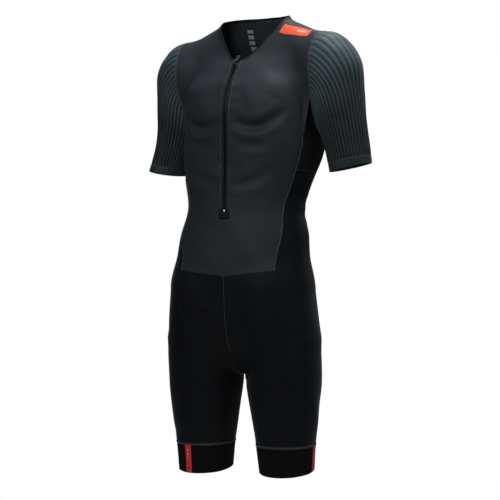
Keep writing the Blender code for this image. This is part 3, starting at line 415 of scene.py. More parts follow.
        # hips: from the waist seam to the loop round the top of the leg
        cf, cb = centre_line(True), centre_line(False)
        self.crotch = cf[-1].copy()
        cf, cb = along(cf, np.linspace(0, 1, hips + 1)), along(cb, np.linspace(0, 1, hips + 1))
        cf[0], cb[0] = torso_grid[0, -1], torso_grid[N, -1]
        cb[-1] = cf[-1] = self.crotch
        cf[:, 0] = cb[:, 0] = 0
        share = np.interp(np.linspace(0, 1, hips + 1), np.linspace(0, 1, len(PELVIC)), PELVIC)
        loop = self.leg_ring(0.0, share[-1])
        loop[0] = loop[-1] = self.crotch
        waist = torso_grid[:, -1]
        hip = coons(waist, loop, cf, cb)
        hip = fit_grid(hip)
        for k in range(1, hips):                                  # slide the points along each row to the pelvic seam
            hip[:, k] = self.respace(hip[:, k], self.shares(share[k]))
        hip[:, 1:-1] = settle(hip[:, 1:-1], 8)
        hip[0], hip[-1] = cf, cb
        self.hip = hip
        n_leg = leg + gripper
        rings = [loop]
        for k in range(1, n_leg + 1):
            s = k / leg if k <= leg else 1 + (k - leg) / gripper
            rings.append(self.leg_ring(s, share[-1] + (nA / N - share[-1]) * min(1, k / leg)))
        self.leg = np.stack(rings, 1)
        self.leg[-1] = self.leg[0]
        self.row_gripper = leg
        # sleeve: from the armhole loop to the hem, columns in the loop's order
        loop = np.concatenate([front_edge[:-1], back_edge[::-1][:-1], foot[::-1][:-1]])
        self.sleeve_front, self.sleeve_back = upper, 2 * upper
        self.sleeve = self.sleeve_grid(loop, sleeve)
        self.front_edge, self.back_edge, self.foot, self.shoulder = front_edge, back_edge, foot, line

    def shares(self, a, b=None):
        """Shares of the way round for every column, with the side seams at a and b."""
        if b is None:
            b = a + (1 - a) * self.ns / (self.ns + self.nb)
        return np.concatenate([np.linspace(0, a, self.nA + 1)[:-1], np.linspace(a, b, self.ns + 1)[:-1], np.linspace(b, 1, self.nb + 1)])

    def respace(self, line, shares):
        return along(line, shares)

    def height(self, z, share):
        """A ring that is level high up takes on the waist seam's own rise lower down."""
        k = np.clip((INSERT_LOW_Z - z) / (INSERT_LOW_Z - WAIST_Z[0]), 0, 1)
        side = np.sin(np.pi * np.clip(share, 0, 1) / 1.0)
        back = np.clip(share, 0, 1) ** 2
        return z + k * ((WAIST_Z[1] - WAIST_Z[0]) * side * (1 - back) + (WAIST_Z[2] - WAIST_Z[0]) * back)

    def ring(self, z):
        a, b = (float(tab(SEAMS, SEAM_COLS, c, z)) for c in SEAM_COLS[1:])
        fine = np.linspace(0, 1, 121)
        ang = np.radians(-90 + 180 * fine)
        zz = self.height(z, fine)
        line = leave(np.stack([0 * ang, 0 * ang, zz], -1), np.stack([np.cos(ang), np.sin(ang), 0 * ang], -1), of=body_field)
        p = along(line, self.shares(a, b))
        step = leave([[SLIT_HALF, 0, p[0, 2]]], (0, -1, 0))[0]
        d = np.linalg.norm(np.diff(line, axis=0), axis=1).sum()
        s1 = SLIT_HALF / d
        p[1:self.nA] = along(line, np.linspace(s1, a, self.nA)[:-1])
        p[1] = step
        p = settle(p, 6, of=body_field)
        q = settle(p, 4)
        p = np.where(np.linalg.norm(q - p, axis=-1, keepdims=True) < 0.003, q, p)
        p[0, 0] = p[-1, 0] = 0
        p[1, 0] = SLIT_HALF
        return p

    def leg_ring(self, s, share):
        """A ring round the leg: s 0 at the crotch, 1 at the gripper's seam, 2 at the hem."""
        fine = np.linspace(0, 1, 145)
        ang = np.radians(-180 + 360 * fine)
        off = np.minimum(360 * np.minimum(fine, 1 - fine), 180)   # degrees away from the inseam
        z_in = self.crotch[2] + (GRIPPER_Z - self.crotch[2]) * min(s, 1) + (HEM_Z - GRIPPER_Z) * max(s - 1, 0)
        fall = max(0, 1 - s) ** 2
        dip = np.sin(np.radians(90 * np.minimum(off / 40, 1))) ** 2
        level = z_in + fall * (-0.012 * dip + 0.026 * np.sin(np.radians(off / 2)) ** 2)
        zz = level
        cx, cy = tab(THIGH, THIGH_COLS, "x", zz), tab(THIGH, THIGH_COLS, "y", zz)
        tilt = GRIPPER_TILT * min(s, 1) ** 2 + (HEM_TILT - GRIPPER_TILT) * max(s - 1, 0)
        for _ in range(3):
            p = leave(np.stack([cx, cy, zz], -1), np.stack([np.cos(ang), np.sin(ang), 0 * ang], -1), 0.16)
            zz = level + tilt * (p[:, 1] - cy)
        if s == 0:
            p[0] = p[-1] = self.crotch
        out = along(p, self.shares(share))
        out[1:-1] = settle(out[1:-1], 5)
        return out

    def sleeve_grid(self, loop, rows):
        start, end = np.array(ARM_TOP), np.array(ARM_END)
        axis = (end - start) / np.linalg.norm(end - start)
        side = np.array([1.0, 0, 0]) - axis * axis[0]
        side /= np.linalg.norm(side)
        back = np.cross(axis, side)
        n = len(loop)
        d = np.r_[0, np.cumsum(np.linalg.norm(np.diff(np.vstack([loop, loop[:1]]), axis=0), axis=1))]
        top = self.sleeve_front                                  # the column that starts at the shoulder point
        ang = 2 * np.pi * (d[:-1] - d[top]) / d[-1]
        way = np.cos(ang)[:, None] * side + np.sin(ang)[:, None] * -back * np.sign(back[1]) * -1

        def ring(t):
            return leave(start + axis * t + 0 * way, way, 0.14, of=limb_field)
        cap = rows // 2
        first = ring(SLEEVE_CAP_T)
        w = np.linspace(0, 1, cap + 1)[None, :, None]
        g = loop[:, None] * (1 - w) + first[:, None] * w
        g = settle(settle(g, 16, of=limb_field), 10)
        g[:, 0], g[:, -1] = loop, settle(first, 4)
        low = [settle(ring(t), 3) for t in np.linspace(SLEEVE_CAP_T, SLEEVE_T, rows - cap + 1)[1:]]
        return np.concatenate([g, np.stack(low, 1)], 1)


# ---------------------------------------------------------------- solids
def cells(grid, closed=False):
    """The quads of a grid [across, down]."""
    g = np.concatenate([grid, grid[:1]]) if closed else grid
    return np.stack([g[:-1, :-1], g[1:, :-1], g[1:, 1:], g[:-1, 1:]], 2).reshape(-1, 4, 3)


def mirrored(quads):
    return quads[:, [0, 3, 2, 1]] * [-1, 1, 1]


def weld(quads):
    keys, index = np.unique(np.round(quads.reshape(-1, 3) * 1e6).astype(np.int64), axis=0, return_inverse=True)
    index = index.reshape(-1)
    first = np.zeros(len(keys), int)
    first[index[::-1]] = np.arange(len(index))[::-1]
    return quads.reshape(-1, 3)[first], index.reshape(-1, 4)


def boundary(faces):
    """Directed edges that only one face uses."""
    use = {}
    for f in faces:
        for a, b in zip(f, np.roll(f, -1)):
            if a != b:
                use[(a, b)] = use.get((a, b), 0) + 1
    return [e for e in use if (e[1], e[0]) not in use]


def facing(verts, faces, nrm):
    """Turns round each face that looks inwards."""
    c = np.cross(verts[faces[:, 2]] - verts[faces[:, 0]], verts[faces[:, 3]] - verts[faces[:, 1]])
    inward = (c * nrm[faces].sum(1)).sum(-1) < 0
    return np.where(inward[:, None], faces[:, [0, 3, 2, 1]], faces)


def inset(verts, faces, nrm, by):
    """Moves the outline inwards in the cloth by an even distance, mitred at corners."""
    push = {}
    for a, b in boundary(faces):
        d = verts[b] - verts[a]
        for v in (a, b):
            way = np.cross(nrm[v], d)
            push.setdefault(v, []).append(way / np.linalg.norm(way))
    out = verts.copy()
    for v, ways in push.items():
        s = np.sum(ways, 0)
        s /= max(np.linalg.norm(s), 1e-9)
        out[v] += s * by / max(0.5, float(np.dot(s, ways[0])))
    return out



def front_line(x, z):
    z = np.asarray(z, float)
    return leave(np.stack([0 * z + x, 0 * z, z], -1), (0, -1, 0))


GARAGE_Z, GARAGE_HALF = (-0.4115, -0.3915), 0.0105
LIE = 0.0004              # what is sewn on lies this far over its panel




DOT_Z, DOT_R, DOT_H = -0.3965, 0.0026, 0.0010


def frame_at(z, lift):
    """A point over the centre front, with the directions right, up the cloth and out of it."""
    p = front_line(0.0, [z])[0]
    n = normals(p[None])[0]
    n[0] = 0
    n /= np.linalg.norm(n)
    up = np.array([0, -n[2], n[1]]) * -1
    up *= np.sign(up[2])
    a = pose(np.array([p + n * lift, p + n * lift + up * 0.001, p + n * (lift + 0.001)]))
    u, o = a[1] - a[0], a[2] - a[0]
    u /= np.linalg.norm(u)
    o -= u * np.dot(o, u)
    o /= np.linalg.norm(o)
    return a[0], np.cross(u, o), u, o


SLIDER_Z = -0.0975
BODY_HALF_W, BODY_HALF_L, BODY_H = 0.0038, 0.0048, 0.0022
BAR_OUT, BAR_HALF_T, BAR_HALF_H = 0.0066, 0.0009, 0.0007
POST_W = 0.0011
TAB_REST = 43.0           # degrees above the +Y direction
EYE_OUT_R, EYE_IN_R, EYE_HALF = 0.0030, 0.0016, 0.0018
TAB_T = 0.0015
TAB_SHAPE = [(0.0018, 0.0022), (0.0018, 0.0046), (0.0044, 0.0068), (0.0046, 0.0235), (0.0034, 0.0268)]

LABEL_T = 0.0008
# shoulder label: its corners over the wearer's left shoulder, as x and y seen from above
LABEL_CORNERS = {"neck_back": (0.0835, -0.0150), "arm_back": (0.1420, -0.0080), "arm_front": (0.1455, -0.0300), "neck_front": (0.0765, -0.0280)}


def label_grid(nu, nv):
    c = {k: np.array(v) for k, v in LABEL_CORNERS.items()}
    u, v = np.linspace(0, 1, nu)[:, None, None], np.linspace(0, 1, nv)[None, :, None]
    xy = (c["neck_back"] * (1 - u) + c["arm_back"] * u) * (1 - v) + (c["neck_front"] * (1 - u) + c["arm_front"] * u) * v
    start = np.concatenate([xy, np.full(xy.shape[:2] + (1,), -0.080)], -1)
    return leave(start, (0, 0, 1), 0.12)



LEG_TABS = {"leg_tab_left": (1, 88.0, 101.0), "leg_tab_right": (-1, 4.0, 17.0)}    # side, first and last bearing from the front
TAB_TOP, TAB_FOOT = 0.0015, 0.0010      # clear of the gripper's seam and of the hem


def leg_tab_grid(side, b0, b1, nu, nv):
    b = np.radians(np.linspace(b0, b1, nu))[:, None]
    v = np.linspace(0, 1, nv)[None]
    way = np.stack([np.sin(b) + 0 * v, -np.cos(b) + 0 * v, 0 * b + 0 * v], -1)
    zz = GRIPPER_Z - TAB_TOP + (HEM_Z - GRIPPER_Z + TAB_TOP + TAB_FOOT) * v + 0 * b
    p = None
    for _ in range(3):
        cx, cy = tab(THIGH, THIGH_COLS, "x", zz), tab(THIGH, THIGH_COLS, "y", zz)
        p = leave(np.stack([cx, cy, zz], -1), way, 0.16)
        zz = GRIPPER_Z - TAB_TOP + (HEM_Z - GRIPPER_Z + TAB_TOP + TAB_FOOT) * v + (GRIPPER_TILT + (HEM_TILT - GRIPPER_TILT) * v) * (p[..., 1] - cy)
    return p * [side, 1, 1]



# ================================================================ the fine suit
FINE = 5                  # how many times finer than the solids
COTTON_GAP = 0.00004      # what is left between two panels under a seam's thread
SHELL = 0.0009            # thickness of the shown cloth
RIBS, RIB_COLS = 42, 8    # ribs round a sleeve, and grid columns to each
SLEEVE_ROWS = 112

fine = Suit(n_front=7 * FINE, n_side=6 * FINE, n_back=7 * FINE, torso=(6 * FINE, 4 * FINE, 4 * FINE), hips=7 * FINE,
            leg=9 * FINE, gripper=2 * FINE, upper=6 * FINE, n_neck=4 * FINE, n_neck_back=4 * FINE, sleeve=8)
nA, nB, N = fine.nA, fine.nB, fine.N
rz, ri = fine.row_zip, fine.row_insert
T, H, L = fine.torso, fine.hip, fine.leg


def lie(p):
    """Puts points on the trunk, and on the whole figure where that is near."""
    on = settle(p, 2, of=body_field)
    whole = settle(on, 2)
    return np.where(np.linalg.norm(whole - on, axis=-1, keepdims=True) < 0.003, whole, on)


def relaxed(grid, rounds, put=lie):
    """Evens out a piece's grid over the skin, with its outline held."""
    g = grid.copy()
    for _ in range(rounds):
        g[1:-1, 1:-1] = put(g[1:-1, 1:-1] * 0.4 + 0.15 * (g[:-2, 1:-1] + g[2:, 1:-1] + g[1:-1, :-2] + g[1:-1, 2:]))
    return g


def skin(p):
    return settle(p, 2)


for cols, rows in (((1, nA), (0, None)), ((nA, nB), (0, ri)), ((nA, nB), (ri, None)), ((nB, N), (0, None))):
    part_ = (slice(cols[0], cols[1] + 1), slice(rows[0], None if rows[1] is None else rows[1] + 1))
    T[part_] = relaxed(T[part_], 14)
for part_ in (slice(0, nA + 1), slice(nA, N + 1)):
    H[part_] = relaxed(H[part_], 14, skin)
L[:, :fine.row_gripper + 1] = relaxed(L[:, :fine.row_gripper + 1], 8, skin)
fine.upper_f, fine.upper_b = relaxed(fine.upper_f, 40, skin), relaxed(fine.upper_b, 40, skin)


# ---------------------------------------------------------------- creases, set one by one
# Each runs from (bearing 0, level 0) to (bearing 1, level 1). On the trunk the bearing is from the front, the wearer's left
# positive, and the level is a height. On a leg the bearing is from its own front, outwards positive. On an arm the bearing is
# from its outside, forwards positive, and the level is a distance down the arm. depth is a trough's, and below 0 a ridge's.
CREASE_COLS = ("part", "b0", "l0", "b1", "l1", "bow", "width", "depth")
CREASES = [
    # across the front, from the side seams towards the zip
    ("trunk", 8, -0.209, 60, -0.188, -0.028, 0.0100, 0.0105),
    ("trunk", -8, -0.209, -56, -0.190, -0.026, 0.0100, 0.0092),
    ("trunk", 13, -0.259, 44, -0.264, -0.003, 0.0085, 0.0044),
    ("trunk", -15, -0.261, -46, -0.254, -0.004, 0.0085, 0.0036),
    ("trunk", 8, -0.346, 54, -0.312, -0.005, 0.0110, 0.0034),
    ("trunk", -8, -0.343, -50, -0.310, -0.005, 0.0105, 0.0028),
    ("trunk", 14, -0.350, 42, -0.338, 0.005, 0.0100, 0.0013),
    ("trunk", -18, -0.356, -50, -0.371, 0.004, 0.0110, 0.0013),
    ("trunk", 20, -0.168, 52, -0.158, 0.004, 0.0380, -0.0034),
    ("trunk", -20, -0.166, -52, -0.156, 0.004, 0.0360, -0.0032),
    ("trunk", 8, -0.425, 40, -0.398, 0.006, 0.0140, 0.0009),
    ("trunk", -8, -0.440, -44, -0.412, 0.006, 0.0130, 0.0010),
    ("trunk", 10, -0.478, 46, -0.490, -0.004, 0.0160, -0.0010),
    ("trunk", -12, -0.486, -40, -0.470, -0.004, 0.0150, -0.0009),
    # pulled out of the armholes, front and back
    ("trunk", 64, -0.192, 36, -0.160, 0.004, 0.0065, 0.0011),
    ("trunk", 68, -0.214, 44, -0.236, 0.003, 0.0060, 0.0009),
    ("trunk", -64, -0.190, -38, -0.156, 0.005, 0.0065, 0.0010),
    ("trunk", -70, -0.212, -46, -0.240, 0.004, 0.0060, 0.0010),
    ("trunk", 84, -0.214, 76, -0.276, 0.0, 0.0075, 0.0012),
    ("trunk", 97, -0.210, 104, -0.262, 0.0, 0.0070, 0.0010),
    ("trunk", -86, -0.216, -78, -0.270, 0.0, 0.0075, 0.0011),
    ("trunk", -99, -0.208, -108, -0.268, 0.0, 0.0070, 0.0010),
    ("trunk", 120, -0.186, 152, -0.152, 0.006, 0.0080, 0.0015),
    ("trunk", 122, -0.222, 158, -0.214, -0.006, 0.0085, 0.0013),
    ("trunk", -118, -0.188, -149, -0.148, 0.006, 0.0080, 0.0014),
    ("trunk", -124, -0.226, -156, -0.218, -0.007, 0.0085, 0.0013),
    # the small of the back and the waist
    ("trunk", 132, -0.372, 176, -0.381, -0.008, 0.0085, 0.0019),
    ("trunk", -134, -0.366, -171, -0.379, -0.007, 0.0085, 0.0017),
    ("trunk", 140, -0.404, 187, -0.412, -0.006, 0.0080, 0.0016),
    ("trunk", -129, -0.398, -164, -0.409, -0.007, 0.0080, 0.0015),
    ("trunk", 128, -0.338, 160, -0.330, -0.008, 0.0090, 0.0011),
    ("trunk", -136, -0.441, -178, -0.433, -0.004, 0.0085, 0.0010),
    ("trunk", 70, -0.362, 116, -0.374, -0.006, 0.0080, 0.0012),
    ("trunk", 78, -0.402, 120, -0.396, -0.006, 0.0080, 0.0011),
    ("trunk", -72, -0.366, -112, -0.372, -0.006, 0.0080, 0.0011),
    ("trunk", -80, -0.398, -124, -0.405, -0.006, 0.0080, 0.0011),
    ("trunk", 168, -0.250, 195, -0.118, 0.0, 0.0140, 0.0012),
    # the hips, towards the fork
    ("trunk", 6, -0.628, 34, -0.598, -0.004, 0.0070, 0.0012),
    ("trunk", -6, -0.626, -36, -0.592, -0.004, 0.0070, 0.0013),
    ("trunk", 9, -0.600, 30, -0.566, -0.003, 0.0080, 0.0008),
    ("trunk", -10, -0.596, -28, -0.560, -0.003, 0.0080, 0.0008),
    ("trunk", 52, -0.650, 96, -0.628, -0.006, 0.0110, 0.0010),
    ("trunk", -50, -0.652, -92, -0.622, -0.006, 0.0110, 0.0010),
    ("trunk", 176, -0.600, 150, -0.560, -0.004, 0.0090, 0.0010),
    ("trunk", -176, -0.604, -152, -0.566, -0.004, 0.0090, 0.0010),
    # the legs
    ("leg_left", -62, -0.716, -10, -0.694, -0.006, 0.0080, 0.0013),
    ("leg_left", -70, -0.742, -28, -0.738, -0.005, 0.0080, 0.0010),
    ("leg_left", 130, -0.684, 205, -0.676, -0.009, 0.0090, 0.0022),
    ("leg_left", 142, -0.716, 200, -0.722, -0.006, 0.0080, 0.0014),
    ("leg_left", 20, -0.846, 84, -0.858, -0.005, 0.0090, 0.0008),
    ("leg_left", 120, -0.838, 188, -0.852, -0.005, 0.0085, 0.0011),
    ("leg_right", -60, -0.712, -14, -0.688, -0.006, 0.0080, 0.0013),
    ("leg_right", -72, -0.746, -30, -0.740, -0.005, 0.0080, 0.0010),
    ("leg_right", 134, -0.688, 203, -0.678, -0.009, 0.0090, 0.0020),
    ("leg_right", 138, -0.720, 196, -0.724, -0.006, 0.0080, 0.0014),
    ("leg_right", 10, -0.852, 70, -0.844, -0.005, 0.0090, 0.0007),
    ("leg_right", 124, -0.842, 190, -0.850, -0.005, 0.0085, 0.0011),
    # the sleeves
    ("arm_left", 100, 0.108, 48, 0.142, 0.006, 0.0070, 0.0013),
    ("arm_left", 118, 0.140, 66, 0.172, 0.005, 0.0065, 0.0012),
    ("arm_left", -104, 0.112, -58, 0.150, 0.006, 0.0070, 0.0013),
    ("arm_left", -120, 0.148, -70, 0.182, 0.005, 0.0065, 0.0012),
    ("arm_left", 22, 0.176, -30, 0.188, 0.003, 0.0080, 0.0007),
    ("arm_right", 98, 0.112, 50, 0.146, 0.006, 0.0070, 0.0013),
    ("arm_right", 120, 0.144, 70, 0.176, 0.005, 0.0065, 0.0011),
    ("arm_right", -102, 0.110, -60, 0.146, 0.006, 0.0070, 0.0013),
    ("arm_right", -118, 0.150, -72, 0.178, 0.005, 0.0065, 0.0012),
    ("arm_right", 18, 0.170, -34, 0.186, 0.003, 0.0080, 0.0007),
]
# Broad, soft unevenness of stretched cloth: wavelength along x, y, z, phase and height
WAVE_COLS = ("x", "y", "z", "phase", "high")
WAVES = [
    (0.110, 0.150, 0.170, 0.4, 0.00050),
    (0.160, 0.090, 0.120, 1.9, 0.00045),
    (0.070, 0.085, 0.095, 3.1, 0.00022),
    (0.055, 0.060, 0.230, 5.0, 0.00018),
]


def arm_frame(side):
    start, end = np.array(ARM_TOP) * [side, 1, 1], np.array(ARM_END) * [side, 1, 1]
    axis = (end - start) / np.linalg.norm(end - start)
    out = np.array([side, 0, 0.0]) - axis * axis[0] * side
    out /= np.linalg.norm(out)
    front = np.cross(axis, out)
    return start, axis, out, front * -np.sign(front[1])


def crease_line(part, b0, l0, b1, l1, bow, count=11):
    s = np.linspace(0, 1, count)
    b, l = np.radians(b0 + (b1 - b0) * s), l0 + (l1 - l0) * s + bow * np.sin(np.pi * s)
    if part == "trunk":
        return leave(np.stack([0 * s, 0 * s, l], -1), np.stack([np.sin(b), -np.cos(b), 0 * s], -1), of=body_field)
    side = 1 if part.endswith("left") else -1
    if part.startswith("leg"):
        cx, cy = tab(THIGH, THIGH_COLS, "x", l) * side, tab(THIGH, THIGH_COLS, "y", l)
        return leave(np.stack([cx, cy, l], -1), np.stack([side * np.sin(b), -np.cos(b), 0 * s], -1), 0.16)
    start, axis, out, front = arm_frame(side)
    return leave(start + axis * l[:, None], np.cos(b)[:, None] * out + np.sin(b)[:, None] * front, 0.14)


CREASE_LINES = [(crease_line(*row[:6]), row[6], row[7], row[0]) for row in CREASES]


def near_line(p, line):
    """Distance from each point to a polyline, and how far along it the nearest place is, 0 to 1."""
    best, at = np.full(len(p), 1e9), np.zeros(len(p))
    n = len(line) - 1
    for i in range(n):
        a, d = line[i], line[i + 1] - line[i]
        t = np.clip((p - a) @ d / max(d @ d, 1e-12), 0, 1)
        dist = np.linalg.norm(p - a - t[:, None] * d, axis=1)
        near = dist < best
        best, at = np.where(near, dist, best), np.where(near, (i + t) / n, at)
    return best, at


def drape(p, arms=False):
    """How far the cloth stands out of (or, below 0, sinks into) the smooth figure."""
    out = np.zeros(len(p))
    for line, width, depth, part in CREASE_LINES:
        if part.startswith("arm") != arms:
            continue
        lo, hi = line.min(0) - 3.2 * width, line.max(0) + 3.2 * width
        near = np.all((p > lo) & (p < hi), axis=1)
        if not near.any():
            continue
        d, s = near_line(p[near], line)
        ends = np.sin(np.pi * np.clip(s, 0.0, 1.0)) ** 0.8
        d = d / width
        out[near] -= depth * ends * (np.exp(-d * d) - 0.20 * np.exp(-(d - 1.75) ** 2 / 0.6))
    for x, y, z, phase, high in WAVES:
        out += high * np.sin(2 * np.pi * (p[:, 0] / x + 0.3 * p[:, 2] / z) + phase) * np.cos(2 * np.pi * (p[:, 1] / y + p[:, 2] / z) - phase)
    return out


PLACKET, PLACKET_STEP = 0.0110, 0.00045      # the doubled cloth beside the zip
PUCKER_GAP, PUCKER_HIGH, PUCKER_WIDE = 0.027, 0.00055, 0.017


def placket(p):
    """The doubled cloth beside the zip, and the puckers that its stitching draws up."""
    on = (p[:, 1] < 0) & (p[:, 2] > ZIP_END_Z - 0.02) & (p[:, 2] < -0.05)
    x, z = np.abs(p[:, 0]), p[:, 2]
    step = PLACKET_STEP / (1 + np.exp((x - PLACKET) / 0.0006))
    away = np.exp(-((x - PLACKET - 0.004) / PUCKER_WIDE) ** 2) * np.clip((x - 0.004) / 0.006, 0, 1)
    beat = np.sin(2 * np.pi * z / PUCKER_GAP + 2.1 * np.sin(z * 31) + np.sign(p[:, 0]) * 0.8)
    end = np.clip((z - ZIP_END_Z + 0.012) / 0.02, 0, 1)
    return np.where(on, (step + PUCKER_HIGH * away * beat) * end, 0)


# ---------------------------------------------------------------- meshes
def grid_uv(grid, closed=False):
    """Metres across and down a grid, evened out, for weaves."""
    g = np.concatenate([grid, grid[:1]]) if closed else grid
    u = np.r_[0, np.cumsum(np.linalg.norm(np.diff(g, axis=0), axis=-1).mean(1))]
    v = np.r_[0, np.cumsum(np.linalg.norm(np.diff(g, axis=1), axis=-1).mean(0))]
    return np.stack(np.meshgrid(u, v, indexing="ij"), -1)


def cells_uv(grid, closed=False):
    g = grid_uv(grid, closed)
    return np.stack([g[:-1, :-1], g[1:, :-1], g[1:, 1:], g[:-1, 1:]], 2).reshape(-1, 4, 2)


def blocks(*grids):
    return np.concatenate([cells(g) for g in grids]), np.concatenate([cells_uv(g) for g in grids])


def flipped(pair):
    return mirrored(pair[0]), pair[1][:, [0, 3, 2, 1]] * [-1, 1]


def together(*pairs):
    return np.concatenate([p[0] for p in pairs]), np.concatenate([p[1] for p in pairs])


def mesh_object(name, verts, faces, uvs=None, mat=None, smooth=True, sharp=50, rib_uvs=None):
    mesh = bpy.data.meshes.new(name)
    mesh.from_pydata(np.asarray(verts).tolist(), [], [[int(i) for i in f] for f in faces])
    if uvs is not None:
        layer = mesh.uv_layers.new(name="cloth")
        layer.data.foreach_set("uv", np.ascontiguousarray(uvs, np.float32).reshape(-1))
    if rib_uvs is not None:
        layer = mesh.uv_layers.new(name="rib")
        layer.data.foreach_set("uv", np.ascontiguousarray(rib_uvs, np.float32).reshape(-1))
    mesh.update()
    if smooth:
        mesh.polygons.foreach_set("use_smooth", [True] * len(mesh.polygons))
        mesh.set_sharp_from_angle(angle=math.radians(sharp))
    ob = bpy.data.objects.new(name, mesh)
    bpy.context.scene.collection.objects.link(ob)
    if mat:
        ob.data.materials.append(mat)
    return ob


def shell(name, pair, mat, thick=SHELL, gap=COTTON_GAP, extra=None, arms=False, lift=0.0):
    """A thin closed wall over the smooth figure, with its creases."""
    quads, uvs = pair
    verts, faces = weld(quads)
    nrm = normals(verts)
    c = np.cross(verts[faces[:, 2]] - verts[faces[:, 0]], verts[faces[:, 3]] - verts[faces[:, 1]])
    inward = (c * nrm[faces].sum(1)).sum(-1) < 0
    faces = np.where(inward[:, None], faces[:, [0, 3, 2, 1]], faces)
    uvs = np.where(inward[:, None, None], uvs[:, [0, 3, 2, 1]], uvs)
    verts = inset(verts, faces, nrm, gap)
    out = drape(verts, arms) + lift
    if extra is not None:
        out = out + extra(verts)
    top, under = pose(verts + nrm * out[:, None]), pose(verts + nrm * (out - thick)[:, None])
    n = len(verts)
    rim = boundary(faces)
    where = {}
    for f, q in zip(faces, uvs):
        for v, w in zip(f, q):
            where[v] = w
    every = [[v for i, v in enumerate(f) if v != f[i - 1]] for f in faces]
    corner = [w for f, q in zip(faces, uvs) for i, w in enumerate(q) if f[i] != f[i - 1]]
    back = [[v + n for v in f[::-1]] for f in every]
    corner_back = [w for f, q in zip(faces, uvs) for w in [w for i, w in enumerate(q) if f[i] != f[i - 1]][::-1]]
    sides = [(b, a, a + n, b + n) for a, b in rim]
    corner_side = [where[v % n] for f in sides for v in f]
    return mesh_object(name, np.concatenate([top, under]), every + back + [list(f) for f in sides],
                       np.array(corner + corner_back + corner_side), mat)


def resample(line, step, closed=False):
    line = np.asarray(line)
    if closed:
        line = np.concatenate([line, line[:1]])
    keep = np.r_[True, np.linalg.norm(np.diff(line, axis=0), axis=1) > 1e-6]
    line = line[keep]
    length = np.linalg.norm(np.diff(line, axis=0), axis=1).sum()
    n = max(2, int(round(length / step)))
    out = along(line, np.linspace(0, 1, n + 1))
    return out[:-1] if closed else out


def line_frames(line, closed=False, arms=False, extra=None):
    """Points on the draped cloth, with the directions along, across and out."""
    p = settle(line, 3)
    nrm = normals(p)
    out = drape(p, arms)
    if extra is not None:
        out = out + extra(p)
    q = p + nrm * out[:, None]
    q, up = pose(q), pose(q + nrm * 0.001)
    nrm = (up - q) / np.linalg.norm(up - q, axis=1, keepdims=True)
    if closed:
        go = np.roll(q, -1, 0) - np.roll(q, 1, 0)
    else:
        go = np.gradient(q, axis=0)
    go -= nrm * (go * nrm).sum(1, keepdims=True)
    go /= np.maximum(np.linalg.norm(go, axis=1, keepdims=True), 1e-9)
    return q, go, np.cross(nrm, go), nrm


SEAM_PROFILE_COLS = ("across", "high")
SEAM_PROFILE = [(-1.0, -0.25), (-0.86, 0.55), (-0.42, 0.95), (0.0, 0.55), (0.42, 0.95), (0.86, 0.55), (1.0, -0.25), (0.0, -0.9)]


class Joined:
    """Collects many small pieces into one mesh."""

    def __init__(self):
        self.verts, self.faces, self.uvs, self.n = [], [], [], 0

    def tube(self, rings, closed, caps=True, uv=None):
        m, k = rings.shape[:2]
        self.verts.append(rings.reshape(-1, 3))
        idx = np.arange(m * k).reshape(m, k) + self.n
        nxt = np.roll(idx, -1, 0) if closed else idx[1:]
        cur = idx if closed else idx[:-1]
        f = np.stack([cur, np.roll(cur, -1, 1), np.roll(nxt, -1, 1), nxt], -1).reshape(-1, 4)
        self.faces += f.tolist()
        if not closed and caps:
            self.faces += [idx[0, ::-1].tolist(), idx[-1].tolist()]
        self.n += m * k

    def done(self, name, mat, sharp=60):
        return mesh_object(name, np.concatenate(self.verts), self.faces, None, mat, sharp=sharp)


def seam_band(joined, line, half_w, high, closed=False, step=0.0032, arms=False, extra=None, off=0.0):
    q, go, across, up = line_frames(resample(line, step, closed), closed, arms, extra)
    rings = np.stack([q + across * (off + a * half_w) + up * (h * high) for a, h in SEAM_PROFILE], 1)
    joined.tube(rings, closed)


def stitches(joined, line, half_w, pitch, thick, closed=False, arms=False, extra=None, off=0.0, lift=0.0002, zigzag=True):
    """A row of short threads: a zigzag across the line, or a run along it."""
    q, go, across, up = line_frames(resample(line, pitch, closed), closed, arms, extra)
    n = len(q) if closed else len(q) - 1
    i = np.arange(n)
    j = (i + 1) % len(q)
    flip = np.where(i % 2 == 0, 1.0, -1.0)[:, None]
    if zigzag:
        a = q[i] + across[i] * (off - half_w * flip)
        b = q[j] + across[j] * (off + half_w * flip)
    else:
        a = q[i] + across[i] * off + (q[j] - q[i]) * 0.10
        b = q[i] + across[i] * off + (q[j] - q[i]) * 0.90
    d = b - a
    side = np.cross(up[i], d)
    side /= np.maximum(np.linalg.norm(side, axis=1, keepdims=True), 1e-9)
    u = up[i]
    for s_, h_, w_ in ((0.0, -0.4, 0.35), (0.5, 1.0, 1.0), (1.0, -0.4, 0.35)):
        c = a + d * s_ + u * (lift + thick * h_)
        r = thick * w_
        ring = np.stack([c + side * r, c + u * r, c - side * r, c - u * r], 1)
        joined.verts.append(ring.reshape(-1, 3))
    base = joined.n
    k = np.arange(n)
    r0, r1, r2 = (base + s * n * 4 + k * 4 for s in range(3))
    for lo, hi in ((r0, r1), (r1, r2)):
        for e in range(4):
            joined.faces += np.stack([lo + e, lo + (e + 1) % 4, hi + (e + 1) % 4, hi + e], -1).tolist()
    joined.faces += np.stack([r0 + 3, r0 + 2, r0 + 1, r0], -1).tolist()
    joined.faces += np.stack([r2, r2 + 1, r2 + 2, r2 + 3], -1).tolist()
    joined.n += n * 12


# ================================================================ materials
def srgb(c):
    return (*[((v / 255 + 0.055) / 1.055) ** 2.4 if v > 10 else v / 255 / 12.92 for v in c], 1)


